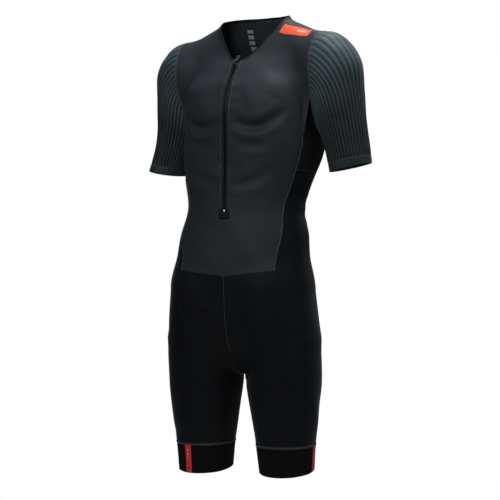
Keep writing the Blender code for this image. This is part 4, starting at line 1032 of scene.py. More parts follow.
class Nodes:
    """A few shorthands over a material's node tree."""

    def __init__(self, name):
        self.mat = bpy.data.materials.new(name)
        self.mat.use_nodes = True
        self.tree = self.mat.node_tree
        self.bsdf = self.tree.nodes["Principled BSDF"]

    def new(self, kind, **values):
        node = self.tree.nodes.new(kind)
        for key, value in values.items():
            if hasattr(node, key):
                setattr(node, key, value)
            else:
                node.inputs[key.replace("_", " ").title() if key not in node.inputs else key].default_value = value
        return node

    def link(self, a, b):
        self.tree.links.new(a, b)

    def set(self, **values):
        for key, value in values.items():
            self.bsdf.inputs[key.replace("_", " ")].default_value = value

    def maths(self, op, a, b=None):
        node = self.tree.nodes.new("ShaderNodeMath")
        node.operation = op
        for slot_, v in enumerate((a, b)):
            if v is None:
                continue
            if hasattr(v, "default_value") or hasattr(v, "is_output"):
                self.link(v, node.inputs[slot_])
            else:
                node.inputs[slot_].default_value = v
        return node.outputs[0]

    def ramp(self, value, stops):
        node = self.tree.nodes.new("ShaderNodeValToRGB")
        r = node.color_ramp
        r.elements[0].position, r.elements[0].color = stops[0]
        r.elements[1].position, r.elements[1].color = stops[-1]
        for pos, col in stops[1:-1]:
            r.elements.new(pos).color = col
        self.link(value, node.inputs[0])
        return node.outputs[0]

    def uv(self, sx, sy):
        c = self.new("ShaderNodeUVMap", uv_map="cloth")
        m = self.tree.nodes.new("ShaderNodeMapping")
        m.inputs["Scale"].default_value = (sx, sy, 1)
        self.link(c.outputs[0], m.inputs["Vector"])
        return m.outputs[0]

    def place(self, s):
        c = self.tree.nodes.new("ShaderNodeTexCoord")
        m = self.tree.nodes.new("ShaderNodeMapping")
        m.inputs["Scale"].default_value = (s, s, s)
        self.link(c.outputs["Object"], m.inputs["Vector"])
        return m.outputs[0]

    def noise(self, vector, scale, detail=3.0, rough=0.5):
        n = self.tree.nodes.new("ShaderNodeTexNoise")
        n.inputs["Scale"].default_value, n.inputs["Detail"].default_value, n.inputs["Roughness"].default_value = scale, detail, rough
        self.link(vector, n.inputs["Vector"])
        return n.outputs[0]

    def wave(self, vector, direction, scale, distortion=0.0, profile="SIN"):
        n = self.tree.nodes.new("ShaderNodeTexWave")
        n.bands_direction, n.wave_profile = direction, profile
        n.inputs["Scale"].default_value, n.inputs["Distortion"].default_value = scale, distortion
        n.inputs["Detail"].default_value = 1.0
        self.link(vector, n.inputs["Vector"])
        return n.outputs[1]

    def bump(self, height, distance, strength=1.0, before=None):
        n = self.tree.nodes.new("ShaderNodeBump")
        n.inputs["Distance"].default_value, n.inputs["Strength"].default_value = distance, strength
        self.link(height, n.inputs["Height"])
        if before is not None:
            self.link(before, n.inputs["Normal"])
        return n.outputs[0]

    def finish(self, colour=None, rough=None, normal=None):
        for socket, name in ((colour, "Base Color"), (rough, "Roughness"), (normal, "Normal")):
            if socket is not None:
                self.link(socket, self.bsdf.inputs[name])
        return self.mat


def tone(c, k):
    return tuple(min(255, v * k) for v in c)


def cloth(name, colour, rough, sheen, sheen_tint, gauge=0.0011, relief=0.00008, slub=0.10, specular=0.5, mesh_pitch=0.0, coat=0.0, sheen_rough=0.35, ribbed=False, placket_painted_shade=0.0):
    """Knitted stretch cloth: rows of loops as a fine relief, mottled colour, a soft sheen, and pin holes for a mesh; on
    ribbed sleeves, painted highlights and painted shade along the ribs; and, if asked, a painted shade along the band
    beside the zip.
    """
    n = Nodes(name)
    uv = n.uv(1 / gauge, 1 / (gauge * 0.8))
    wales = n.wave(uv, "X", 0.1592, 0.0)
    courses = n.wave(uv, "Y", 0.1592, 0.0)
    knit = n.maths("MULTIPLY", n.maths("ADD", wales, courses), 0.5)
    place_ = n.place(1.0)
    mottled = n.noise(place_, 38.0, 4.0, 0.6)
    fine_ = n.noise(n.uv(1, 1), 2400.0, 2.0, 0.6)
    mix = n.maths("ADD", n.maths("MULTIPLY", mottled, 0.65), n.maths("MULTIPLY", fine_, 0.35))
    colour_ = n.ramp(mix, [(0.25, srgb(tone(colour, 1 - slub))), (0.5, srgb(colour)), (0.8, srgb(tone(colour, 1 + slub)))])
    height = n.maths("ADD", n.maths("MULTIPLY", knit, 0.8), n.maths("MULTIPLY", fine_, 0.35))
    if mesh_pitch:
        v = n.tree.nodes.new("ShaderNodeTexVoronoi")
        v.feature = "F1"
        v.inputs["Scale"].default_value, v.inputs["Randomness"].default_value = 1.0, 0.06
        n.link(n.uv(1 / mesh_pitch, 1 / mesh_pitch), v.inputs["Vector"])
        hole = n.ramp(v.outputs["Distance"], [(0.18, (0, 0, 0, 1)), (0.30, (1, 1, 1, 1))])
        mixc = n.tree.nodes.new("ShaderNodeMix")
        mixc.data_type, mixc.blend_type = "RGBA", "MULTIPLY"
        mixc.inputs[0].default_value = 0.75
        n.link(colour_, mixc.inputs[6])
        n.link(hole, mixc.inputs[7])
        colour_ = mixc.outputs[2]
        height = n.maths("ADD", height, n.maths("MULTIPLY", hole, 2.0))
    if ribbed:
        r = n.tree.nodes.new("ShaderNodeSeparateXYZ")
        n.link(n.new("ShaderNodeUVMap", uv_map="rib").outputs[0], r.inputs[0])
        beat = n.maths("ADD", n.maths("MULTIPLY", n.maths("COSINE", n.maths("MULTIPLY", r.outputs[0], 2 * math.pi)), 0.5), 0.5)
        # Painted light on the ribs. Upper sleeve: a light ground, the grooves painted dark (painted shade) and the
        # crests painted brighter than the cloth (painted highlight).
        cap = n.ramp(beat, [(0.03, (0.24, 0.25, 0.26, 1)), (0.18, (0.80, 0.80, 0.81, 1)), (0.45, (1.0, 1.0, 1.0, 1)), (1.0, (1.22, 1.24, 1.25, 1))])
        # Lower sleeve: the ground painted dark (painted shade), only the crests painted light (painted highlight).
        arm = n.ramp(beat, [(0.05, (0.20, 0.18, 0.17, 1)), (0.62, (0.26, 0.235, 0.225, 1)), (0.88, (0.58, 0.53, 0.51, 1)), (1.0, (1.00, 0.92, 0.88, 1))])
        # Down the arm this blends from the upper painting to the lower one: the upper sleeve is painted as lit from
        # above, the lower as in shade.
        down = n.ramp(r.outputs[1], [(0.24, (0, 0, 0, 1)), (0.54, (1, 1, 1, 1))])
        rib_light_and_shade = n.tree.nodes.new("ShaderNodeMix")
        rib_light_and_shade.data_type, rib_light_and_shade.blend_type = "RGBA", "MIX"
        n.link(down, rib_light_and_shade.inputs[0])
        n.link(cap, rib_light_and_shade.inputs[6])
        n.link(arm, rib_light_and_shade.inputs[7])
        dark = rib_light_and_shade.outputs[2]
        on = n.maths("SUBTRACT", 1.0, n.maths("MULTIPLY", n.maths("GREATER_THAN", r.outputs[1], 0.985), 0.25))
        rib_paint_mix = n.tree.nodes.new("ShaderNodeMix")
        rib_paint_mix.data_type, rib_paint_mix.blend_type = "RGBA", "MULTIPLY"
        n.link(on, rib_paint_mix.inputs[0])
        n.link(colour_, rib_paint_mix.inputs[6])
        n.link(dark, rib_paint_mix.inputs[7])
        colour_ = rib_paint_mix.outputs[2]
    # Painted shade: the band beside the zip, above the zip's end, is the same cloth painted darker.
    if placket_painted_shade:
        r = n.tree.nodes.new("ShaderNodeSeparateXYZ")
        n.link(n.place(1.0), r.inputs[0])
        near = n.maths("LESS_THAN", n.maths("ABSOLUTE", r.outputs[0]), PLACKET)
        high_up = n.maths("GREATER_THAN", r.outputs[2], ZIP_END_Z - 0.004)
        placket_shade_mix = n.tree.nodes.new("ShaderNodeMix")
        placket_shade_mix.data_type, placket_shade_mix.blend_type = "RGBA", "MULTIPLY"
        n.link(n.maths("MULTIPLY", near, high_up), placket_shade_mix.inputs[0])
        n.link(colour_, placket_shade_mix.inputs[6])
        placket_shade_mix.inputs[7].default_value = (placket_painted_shade, placket_painted_shade, placket_painted_shade, 1)
        colour_ = placket_shade_mix.outputs[2]
    rough_ = n.maths("ADD", n.maths("MULTIPLY", mix, 0.16), rough - 0.08)
    n.set(Sheen_Weight=sheen, Sheen_Roughness=sheen_rough, Sheen_Tint=srgb(sheen_tint), Specular_IOR_Level=specular, Coat_Weight=coat, Coat_Roughness=0.5)
    return n.finish(colour_, rough_, n.bump(height, relief))


def plain(name, colour, rough, metal=0.0, grain=600.0, relief=0.00003, slub=0.08, specular=0.5, coat=0.0):
    """Moulded or metal pieces: a fine grain, with colour and roughness varied a little by noise."""
    n = Nodes(name)
    p = n.place(1.0)
    a, b = n.noise(p, grain, 3.0, 0.6), n.noise(p, grain * 0.12, 2.0, 0.5)
    mix = n.maths("ADD", n.maths("MULTIPLY", a, 0.5), n.maths("MULTIPLY", b, 0.5))
    colour_ = n.ramp(mix, [(0.3, srgb(tone(colour, 1 - slub))), (0.7, srgb(tone(colour, 1 + slub)))])
    rough_ = n.maths("ADD", n.maths("MULTIPLY", b, 0.2), rough - 0.1)
    n.set(Metallic=metal, Specular_IOR_Level=specular, Coat_Weight=coat, Coat_Roughness=0.25)
    return n.finish(colour_, rough_, n.bump(a, relief))


# The front's satin, with a painted shade along the band beside the zip.
SATIN = cloth("satin jersey", (44, 48, 53), 0.66, 0.12, (140, 165, 190), 0.0010, 0.00005, 0.09, 0.28, placket_painted_shade=0.60)
BACK = cloth("satin jersey back", (44, 48, 53), 0.66, 0.12, (140, 165, 190), 0.0010, 0.00005, 0.09, 0.28)
MESH = cloth("mesh jersey", (38, 37, 36), 0.85, 0.04, (150, 140, 130), 0.0016, 0.00012, 0.14, 0.12, mesh_pitch=0.0026)
LYCRA = cloth("leg lycra", (14, 15, 17), 0.62, 0.42, (150, 160, 170), 0.0009, 0.00004, 0.10, 0.16)
PELVIC_CLOTH = cloth("pelvic lycra", (17, 18, 20), 0.66, 0.04, (150, 160, 170), 0.0009, 0.00005, 0.10, 0.16)
# The sleeves' cloth, with painted highlights and painted shade along its ribs.
SLEEVE = cloth("ribbed sleeve", (66, 79, 83), 0.62, 0.25, (150, 185, 190), 0.0012, 0.00006, 0.10, 0.30, ribbed=True)
GRIPPER = cloth("gripper band", (17, 17, 17), 0.82, 0.02, (140, 140, 140), 0.0020, 0.00014, 0.12, 0.10)
BINDING = cloth("neck binding", (17, 18, 20), 0.72, 0.10, (150, 160, 170), 0.0009, 0.00008, 0.12, 0.25)
TAPE = cloth("zip tape weave", (14, 15, 17), 0.75, 0.04, (150, 160, 170), 0.0008, 0.00012, 0.14, 0.20)
GARAGE = cloth("zip garage cloth", (12, 14, 17), 0.68, 0.06, (150, 160, 170), 0.0009, 0.00006, 0.10, 0.25)
SEAM_TAPE = cloth("gripper seam tape", (46, 49, 52), 0.70, 0.06, (150, 160, 170), 0.0009, 0.00006, 0.12, 0.25)
THREAD = plain("seam thread", (150, 156, 160), 0.70, 0.0, 900.0, 0.00002, 0.15, 0.35)
THREAD_DARK = plain("dark thread", (40, 42, 44), 0.72, 0.0, 900.0, 0.00002, 0.15, 0.30)
THREAD_FAINT = plain("faint thread", (46, 48, 50), 0.72, 0.0, 900.0, 0.00002, 0.15, 0.30)
THREAD_LEG = plain("leg thread", (110, 114, 116), 0.72, 0.0, 900.0, 0.00002, 0.15, 0.30)
COIL = plain("zip coil nylon", (12, 13, 14), 0.45, 0.0, 500.0, 0.00002, 0.10, 0.5)
METAL = plain("darkened metal", (96, 98, 102), 0.36, 0.9, 350.0, 0.00002, 0.14)
DOT = plain("bright metal", (178, 180, 184), 0.30, 1.0, 350.0, 0.00002, 0.10)
PULL = plain("pull tab rubber", (40, 42, 45), 0.55, 0.0, 700.0, 0.00003, 0.10, 0.45)
ORANGE = plain("orange label film", (250, 98, 60), 0.60, 0.0, 260.0, 0.00004, 0.05, 0.25)
ORANGE_MARK = plain("label marks", (247, 205, 190), 0.65, 0.0, 260.0, 0.00002, 0.04, 0.25)
RED = plain("red tab film", (232, 62, 66), 0.60, 0.0, 260.0, 0.00004, 0.06, 0.25)
RED_MARK = plain("tab marks", (226, 176, 172), 0.65, 0.0, 260.0, 0.00002, 0.04, 0.25)
PRINT = plain("neck print", (158, 160, 162), 0.60, 0.0, 260.0, 0.00002, 0.06, 0.4)

# ================================================================ the panels
made = {}


def add(ob, node=None, body="suit"):
    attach(ob, body)
    if node:
        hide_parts(*([node] if isinstance(node, str) else node))
    made[ob.name] = ob
    return ob


front = blocks(T[1:nA + 1], T[0:2, rz:], fine.upper_f)
add(shell("front", together(front, flipped(front)), SATIN, extra=placket), "front_panel")
back = blocks(T[nB:], fine.upper_b)
add(shell("back", together(back, flipped(back)), BACK), "back_panel")
for side, turn in (("left", lambda q: q), ("right", flipped)):
    add(shell("insert_" + side, turn(blocks(T[nA:nB + 1, :ri + 1])), MESH), "side_insert_" + side)
    add(shell("legpiece_" + side, turn(blocks(T[nA:nB + 1, ri:], H[nA:], L[:, :fine.row_gripper + 1])), LYCRA), "leg_" + side)
    add(shell("pelvic_piece_" + side, turn(blocks(H[:nA + 1])), PELVIC_CLOTH), "pelvic_" + side)
    add(shell("gripper_" + side, turn(blocks(L[:, fine.row_gripper:])), GRIPPER, thick=0.0012, lift=0.0001), "leg_gripper_" + side)
neck_line = np.concatenate([fine.neck_f, fine.neck_b[::-1][1:]])
edge_line = np.concatenate([fine.edge_f, fine.edge_b[::-1][1:]])
share = np.linspace(0, 1, 6)[None, :, None]
binding_grid = neck_line[:, None] * (1 - share) + edge_line[:, None] * share
binding_grid[:, 1:-1] = settle(binding_grid[:, 1:-1], 4)


bind_pair = (cells(binding_grid), cells_uv(binding_grid))
add(shell("binding", together(bind_pair, flipped(bind_pair)), BINDING, thick=0.0013, lift=0.0004), "neck_binding")

# ---------------------------------------------------------------- the ribbed sleeves
HEM_FOLD = 0.017          # how far the sleeve's hem is turned up
RIB_HIGH, GROOVE = 0.00085, 0.00085


def fine_sleeve():
    loop = np.concatenate([fine.front_edge[:-1], fine.back_edge[::-1][:-1], fine.foot[::-1][:-1]])
    loop = np.roll(loop, 1 - len(fine.front_edge), axis=0)
    loop = along(np.concatenate([loop, loop[:1]]), np.linspace(0, 1, RIBS * RIB_COLS + 1))[:-1]
    fine.sleeve_front = 0
    return loop, fine.sleeve_grid(loop, SLEEVE_ROWS)


armhole, sleeve_grid_ = fine_sleeve()
RIB_HUB = np.array([0.105, -0.200])       # x and z of the point that the ribs bend round, inside the armpit


def rib_number(p):
    """Which rib lies at each point: the ribs run up the arm side by side, and bend over the shoulder."""
    top, end = np.array(ARM_TOP), np.array(ARM_END)
    down = (end - top) / np.linalg.norm(end - top)
    t = (p - top) @ down
    dd = down[[0, 2]] / np.linalg.norm(down[[0, 2]])
    oo = np.array([-dd[1], dd[0]])
    q = p[..., [0, 2]] - RIB_HUB
    along_, out_ = q @ dd, q @ oo
    lift = np.clip(np.arctan2(-along_, out_) / (math.pi / 2), 0, 1)
    away = np.where(along_ > 0, out_, np.hypot(along_, out_))
    mid = (top[[0, 2]] - RIB_HUB) @ oo + 0.0080 * lift
    y0 = top[1] + down[1] * np.clip(t, 0, None)
    turn = np.arctan2((p[..., 1] - y0) / (0.054 + 0.011 * lift), (away - mid) / (0.0465 + 0.004 * lift))
    turn[0] = np.unwrap(turn[0])
    turn = np.unwrap(turn, axis=0)
    number = turn * RIBS / (2 * math.pi)
    return np.concatenate([number, number[:1] + np.sign((number[-1] - number[0]).mean()) * RIBS])


RIB_NUMBER = rib_number(sleeve_grid_)


def sleeve_shell(name, side, mat):
    g = sleeve_grid_ * [side, 1, 1]
    n_c, n_r = g.shape[:2]
    u = RIB_NUMBER[:-1]
    beat = 0.5 + 0.5 * np.cos(2 * np.pi * u)                      # 1 on a rib, 0 in a groove
    rib = RIB_HIGH * beat ** 0.7 - GROOVE * (1 - beat) ** 6
    v = np.r_[0, np.cumsum(np.linalg.norm(np.diff(g, axis=1), axis=-1).mean(0))]
    start = np.clip((v - 0.003) / 0.010, 0, 1)
    end = np.clip((v[-1] - HEM_FOLD - v) / 0.004, 0, 1)
    fade = start * (0.30 + 0.70 * end)
    hem = np.where(v > v[-1] - HEM_FOLD, 0.0004, 0) - 0.0005 * np.exp(-((v - v[-1] + HEM_FOLD) / 0.0012) ** 2)
    flat = g.reshape(-1, 3)
    nrm = normals(flat * [side, 1, 1]) * [side, 1, 1]
    out = drape(flat, arms=True).reshape(n_c, n_r) + rib * fade[None] + hem[None]
    out = out.reshape(-1)
    thick = np.where(v > v[-1] - HEM_FOLD, 0.0013, SHELL)[None] + 0 * g[..., 0]
    top, under = pose(flat + nrm * out[:, None]), pose(flat + nrm * (out - thick.reshape(-1))[:, None])
    idx = np.arange(n_c * n_r).reshape(n_c, n_r)
    nxt = np.roll(idx, -1, 0)
    f = np.stack([idx[:, :-1], nxt[:, :-1], nxt[:, 1:], idx[:, 1:]], -1).reshape(-1, 4)
    girth = np.linalg.norm(np.diff(np.concatenate([g, g[:1]]), axis=0), axis=-1).mean(1).cumsum()
    uu = np.r_[0, girth]
    uv = np.stack(np.meshgrid(uu, v, indexing="ij"), -1)
    quv = np.stack([uv[:-1, :-1], uv[1:, :-1], uv[1:, 1:], uv[:-1, 1:]], 2).reshape(-1, 4, 2)
    ribs = np.stack([RIB_NUMBER, 0 * RIB_NUMBER + v[None] / (v[-1] - HEM_FOLD)], -1)
    qrib = np.stack([ribs[:-1, :-1], ribs[1:, :-1], ribs[1:, 1:], ribs[:-1, 1:]], 2).reshape(-1, 4, 2)
    c = np.cross(top[f[:, 2]] - top[f[:, 0]], top[f[:, 3]] - top[f[:, 1]])
    if (c * nrm[f[:, 0]]).sum() < 0:
        f, quv, qrib = f[:, ::-1], quv[:, ::-1], qrib[:, ::-1]
    m = len(flat)
    rim = [(int(a), int(b)) for a, b in boundary(f)]
    sides = [(b, a, a + m, b + m) for a, b in rim]
    side_uv = uv[:-1].reshape(-1, 2)[np.array(sides) % m]
    side_rib = ribs[:-1].reshape(-1, 2)[np.array(sides) % m]
    faces = f.tolist() + (f[:, ::-1] + m).tolist() + [list(s) for s in sides]
    return mesh_object(name, np.concatenate([top, under]), faces, np.concatenate([quv, quv[:, ::-1], side_uv]), mat, sharp=60, rib_uvs=np.concatenate([qrib, qrib[:, ::-1], side_rib]))


for side, s in (("left", 1), ("right", -1)):
    add(sleeve_shell("sleeve_piece_" + side, s, SLEEVE), "sleeve_" + side)

# ================================================================ seams and stitching
armhole_line = np.concatenate([fine.front_edge[:-1], fine.back_edge[::-1][:-1], fine.foot[::-1][:-1]])
side_front, side_back = T[nA], T[nB]
waist_back = T[nB:, -1]
loop_front = H[:nA + 1, -1]
mirror = np.array([-1.0, 1, 1])
bands, threads_light, threads_dark, threads_leg, threads_faint = Joined(), Joined(), Joined(), Joined(), Joined()
leg_bands, hem_bands = Joined(), Joined()
for side, s in (("left", 1), ("right", -1)):
    m = np.array([s, 1.0, 1])
    seam_band(bands, armhole_line * m, 0.0015, 0.00045, True)
    stitches(threads_light, armhole_line * m, 0.0011, 0.0021, 0.00022, True, lift=0.0005)
    for line in (side_front, side_back):
        upper_part, lower_part = line[:ri + 1], line[ri:]
        seam_band(bands, line * m, 0.0015, 0.00045)
        stitches(threads_light, line * m, 0.0011, 0.0021, 0.00022, lift=0.0005)
    for line in (T[nA:nB + 1, ri], fine.shoulder):
        seam_band(bands, line * m, 0.0014, 0.0004)
        stitches(threads_dark, line * m, 0.0010, 0.0021, 0.0002, lift=0.00045)
    seam_band(leg_bands, H[nA] * m, 0.0013, 0.0004)
    stitches(threads_faint, H[nA] * m, 0.0009, 0.0022, 0.00018, lift=0.00045)
    for line in (L[0, :fine.row_gripper], loop_front):
        seam_band(leg_bands, line * m, 0.0013, 0.0004)
        stitches(threads_dark, line * m, 0.0009, 0.0022, 0.00018, lift=0.00045)
    ring = L[:-1, fine.row_gripper]
    seam_band(hem_bands, ring * m, 0.0030, 0.0006, True)
    stitches(threads_leg, ring * m, 0.0017, 0.0021, 0.00026, True, lift=0.00065)
    hem_ring = settle(L[:-1, -3], 2)
    stitches(threads_dark, hem_ring * m, 0, 0.0030, 0.00016, True, zigzag=False, lift=0.0003)
waist_front = np.concatenate([(T[:nA + 1, -1] * mirror)[::-1], T[1:nA + 1, -1]])
waist_rear = np.concatenate([(T[nB:, -1] * mirror), T[nB:, -1][::-1][1:]])
for line in (waist_front, waist_rear):
    seam_band(bands, line, 0.0014, 0.0004)
    stitches(threads_dark, line, 0.0010, 0.0021, 0.0002, lift=0.00045)
seam_band(leg_bands, H[0], 0.0013, 0.0004)
# The centre seam's thread is drawn light above and dark towards the crotch; the dark lower part is a painted shade.
centre_seam_lit_part = H[0][:int(len(H[0]) * 0.62)]
stitches(threads_leg, centre_seam_lit_part, 0.0009, 0.0021, 0.0002, lift=0.00045)
stitches(threads_dark, H[0][int(len(H[0]) * 0.62) - 1:], 0.0009, 0.0021, 0.0002, lift=0.00045)
seam_band(leg_bands, H[N], 0.0013, 0.0004)
stitches(threads_dark, H[N], 0.0009, 0.0021, 0.0002, lift=0.00045)
both_neck = np.concatenate([neck_line, (neck_line * mirror)[::-1][1:]])
stitches(threads_dark, both_neck, 0, 0.0026, 0.00018, zigzag=False, off=0.0008, lift=0.0004)
ZIP_ZS = np.linspace(ZIP_END_Z - 0.004, neck_line[0, 2], 90)
for x in (-PLACKET + 0.0009, PLACKET - 0.0009):
    run = leave(np.stack([0 * ZIP_ZS + x, 0 * ZIP_ZS, ZIP_ZS], -1), (0, -1, 0))
    stitches(threads_light, run, 0, 0.0030, 0.00027, zigzag=False, extra=placket, lift=0.0002)
# the sleeve's hem stitching
v_rows = np.r_[0, np.cumsum(np.linalg.norm(np.diff(sleeve_grid_, axis=1), axis=-1).mean(0))]
hem_row = int(np.argmin(np.abs(v_rows - v_rows[-1] + HEM_FOLD)))
for s in (1, -1):
    for k in (0, 1):
        stitches(threads_leg, sleeve_grid_[:, hem_row + k] * [s, 1, 1], 0, 0.0028, 0.0002, True, arms=True, zigzag=False, lift=0.0002)
add(bands.done("seam_bands", BACK))
add(leg_bands.done("leg_seam_bands", LYCRA))
add(hem_bands.done("gripper_seam_bands", SEAM_TAPE))
add(threads_light.done("seam_threads", THREAD))
add(threads_dark.done("seam_threads_dark", THREAD_DARK))
add(threads_leg.done("seam_threads_leg", THREAD_LEG))
add(threads_faint.done("seam_threads_faint", THREAD_FAINT))

# ================================================================ the zip
TOOTH_PITCH = 0.0016
zip_zs = np.linspace(ZIP_END_Z + 0.0005, ZIP_TOP_Z + 0.003, 200)


def strip_grid(x0, x1, count, zs=zip_zs):
    return np.stack([leave(np.stack([0 * zs + x, 0 * zs, zs], -1), (0, -1, 0)) for x in np.linspace(x0, x1, count)])


for name, x0, x1 in (("left", TAPE_IN - 0.0022, SLIT_HALF + 0.003), ("right", -SLIT_HALF - 0.003, -TAPE_IN + 0.0022)):
    g = strip_grid(x0, x1, 5)
    add(shell("tape_" + name, (cells(g), cells_uv(g)), TAPE, thick=0.0004, lift=-0.0011), "zip_tape_" + name)

# the front's folded edges, which close over the tapes to either side of the teeth
EDGE_IN = 0.0026
edge_zs = np.linspace(ZIP_END_Z + 0.0008, neck_line[0, 2] - 0.0008, 200)
for name, x0, x1 in (("left", EDGE_IN, SLIT_HALF + 0.0003), ("right", -SLIT_HALF - 0.0003, -EDGE_IN)):
    g = strip_grid(x0, x1, 4, edge_zs)
    add(shell("placket_edge_" + name, (cells(g), cells_uv(g)), SATIN, thick=0.0006, lift=-0.00012, extra=placket))

teeth = Joined()
line = leave(np.stack([0 * zip_zs, 0 * zip_zs, zip_zs], -1), (0, -1, 0))
q, go, across, up = line_frames(resample(line, TOOTH_PITCH / 2))
for i in range(len(q)):
    s = 1.0 if i % 2 else -1.0
    rings = []
    for x, r, h in ((-2.1, 0.42, 0.10), (-1.5, 0.66, 0.42), (0.0, 0.74, 0.62), (0.9, 0.62, 0.50), (1.3, 0.30, 0.20)):
        c = q[i] + across[i] * (-s * x) * 0.001 + up[i] * (h * 0.001 - 0.0006)
        rings.append([c + (go[i] * math.cos(t) * 0.62 + up[i] * math.sin(t)) * r * 0.001 for t in np.linspace(0, 2 * math.pi, 6, endpoint=False)])
    teeth.tube(np.array(rings), False)
add(teeth.done("zip_teeth", COIL, 40), "zip_coil")


def rounded(outline, r, n=5):
    """An outline with its corners rounded."""
    pts, k = [], len(outline)
    for i in range(k):
        a, b, c = (np.array(outline[j % k], float) for j in (i - 1, i, i + 1))
        u, v = (a - b) / np.linalg.norm(a - b), (c - b) / np.linalg.norm(c - b)
        cut = min(r, 0.45 * np.linalg.norm(a - b), 0.45 * np.linalg.norm(c - b))
        for s in np.linspace(0, 1, n):
            pts.append((1 - s) ** 2 * (b + u * cut) + 2 * s * (1 - s) * b + s * s * (b + v * cut))
    return np.array(pts)


def pillow(name, outline, depth, place, mat, edge=0.0003, axes=(0, 1, 2), rounds=4, crown=0.0):
    """A flat outline given a depth, with rounded edges and, if asked, a crowned face."""
    base, right, up_, out_ = place
    d = np.array([right, up_, out_])[list(axes)]
    o = np.asarray(outline)
    if (np.cross(o, np.roll(o, -1, 0)).sum() < 0) != (np.dot(np.cross(d[0], d[1]), d[2]) < 0):
        o = o[::-1]
    mid = o.mean(0)
    toward = mid - o
    toward /= np.linalg.norm(toward, axis=1, keepdims=True)
    rings = []
    lo, hi = depth
    for s in np.linspace(0, 90, rounds):
        rings.append((o + toward * edge * (1 - math.sin(math.radians(s))), lo + edge * (1 - math.cos(math.radians(s)))))
    for s in np.linspace(90, 0, rounds):
        rings.append((o + toward * edge * (1 - math.sin(math.radians(s))), hi - edge * (1 - math.cos(math.radians(s)))))
    for k_ in (0.66, 0.33):
        rings.append((mid + (rings[2 * rounds - 1][0] - mid) * k_, hi + crown * (1 - k_ ** 2)))
    rings = [(mid + (rings[0][0] - mid) * 0.5, lo)] + rings
    pts = [base + d[0] * a + d[1] * b + d[2] * h for ring_, h in rings for a, b in ring_]
    n = len(o)
    faces = []
    for r_ in range(len(rings) - 1):
        for i in range(n):
            j = (i + 1) % n
            faces.append((r_ * n + i, r_ * n + j, (r_ + 1) * n + j, (r_ + 1) * n + i))
    c0, c1 = len(pts), len(pts) + 1
    pts += [base + d[0] * mid[0] + d[1] * mid[1] + d[2] * lo, base + d[0] * mid[0] + d[1] * mid[1] + d[2] * (hi + crown)]
    last = (len(rings) - 1) * n
    for i in range(n):
        j = (i + 1) % n
        faces += [(j, i, c0), (last + i, last + j, c1)]
    return mesh_object(name, pts, faces, None, mat, sharp=40)


def patch(name, grid, mat, thick, lie, arms=False, extra=None, closed_uv=True):
    """A thin sewn-on patch that follows the draped cloth."""
    n_c, n_r = grid.shape[:2]
    flat = grid.reshape(-1, 3)
    nrm = normals(flat)
    out = drape(flat, arms) + (extra(flat) if extra is not None else 0)
    edge = np.ones((n_c, n_r))
    edge[[0, -1]] = 0
    edge[:, [0, -1]] = 0
    lift = (lie + thick * (0.45 + 0.55 * edge)).reshape(-1)
    top, under = pose(flat + nrm * (out + lift)[:, None]), pose(flat + nrm * (out + lie - 0.0002)[:, None])
    idx = np.arange(n_c * n_r).reshape(n_c, n_r)
    f = np.stack([idx[:-1, :-1], idx[1:, :-1], idx[1:, 1:], idx[:-1, 1:]], -1).reshape(-1, 4)
    uv = grid_uv(grid).reshape(-1, 2)
    c = np.cross(top[f[:, 2]] - top[f[:, 0]], top[f[:, 3]] - top[f[:, 1]])
    if (c * nrm[f[:, 0]]).sum() < 0:
        f = f[:, ::-1]
    m = len(flat)
    sides = [(int(b), int(a), int(a) + m, int(b) + m) for a, b in boundary(f)]
    faces = f.tolist() + (f[:, ::-1] + m).tolist() + [list(s_) for s_ in sides]
    every_uv = np.concatenate([uv[f].reshape(-1, 2), uv[f[:, ::-1]].reshape(-1, 2), uv[np.array(sides) % m].reshape(-1, 2)])
    return mesh_object(name, np.concatenate([top, under]), faces, every_uv, mat, sharp=60)


def part_of(grid_fn, u0, u1, v0, v1, nu, nv, *args):
    """A smaller patch inside a patch: its share across and down."""
    big = grid_fn(*args, 61, 61)
    iu, iv = np.linspace(u0, u1, nu) * 60, np.linspace(v0, v1, nv) * 60
    a = np.stack([np.stack([np.interp(iv, np.arange(61), big[k, :, c]) for c in range(3)], -1) for k in range(61)])
    return np.stack([np.stack([np.interp(iu, np.arange(61), a[:, j, c]) for c in range(3)], -1) for j in range(nv)], 1)


garage_grid = np.stack([leave(np.stack([0 * np.linspace(*GARAGE_Z, 14) + x, 0 * np.linspace(*GARAGE_Z, 14), np.linspace(*GARAGE_Z, 14)], -1), (0, -1, 0))
                        for x in np.linspace(-GARAGE_HALF, GARAGE_HALF, 16)])
add(patch("garage", garage_grid, GARAGE, 0.0010, 0.0013), "zip_garage")
garage_line = Joined()
inner = garage_grid[1:-1, 1:-1]
loop_ = np.concatenate([inner[:-1, 0], inner[-1, :-1], inner[1:, -1][::-1], inner[0, 1:][::-1]])
stitches(garage_line, loop_, 0, 0.0024, 0.00020, True, zigzag=False, lift=0.0024)
add(garage_line.done("garage_threads", THREAD_DARK))

circle = [(math.cos(t), math.sin(t)) for t in np.linspace(0, 2 * math.pi, 28, endpoint=False)]
dot_place = frame_at(DOT_Z, 0.0026)
add(pillow("end_dot", [(x * DOT_R, y * DOT_R) for x, y in circle], (0.0, DOT_H * 0.8), dot_place, DOT, 0.00035, crown=0.0004), "zip_end_dot")

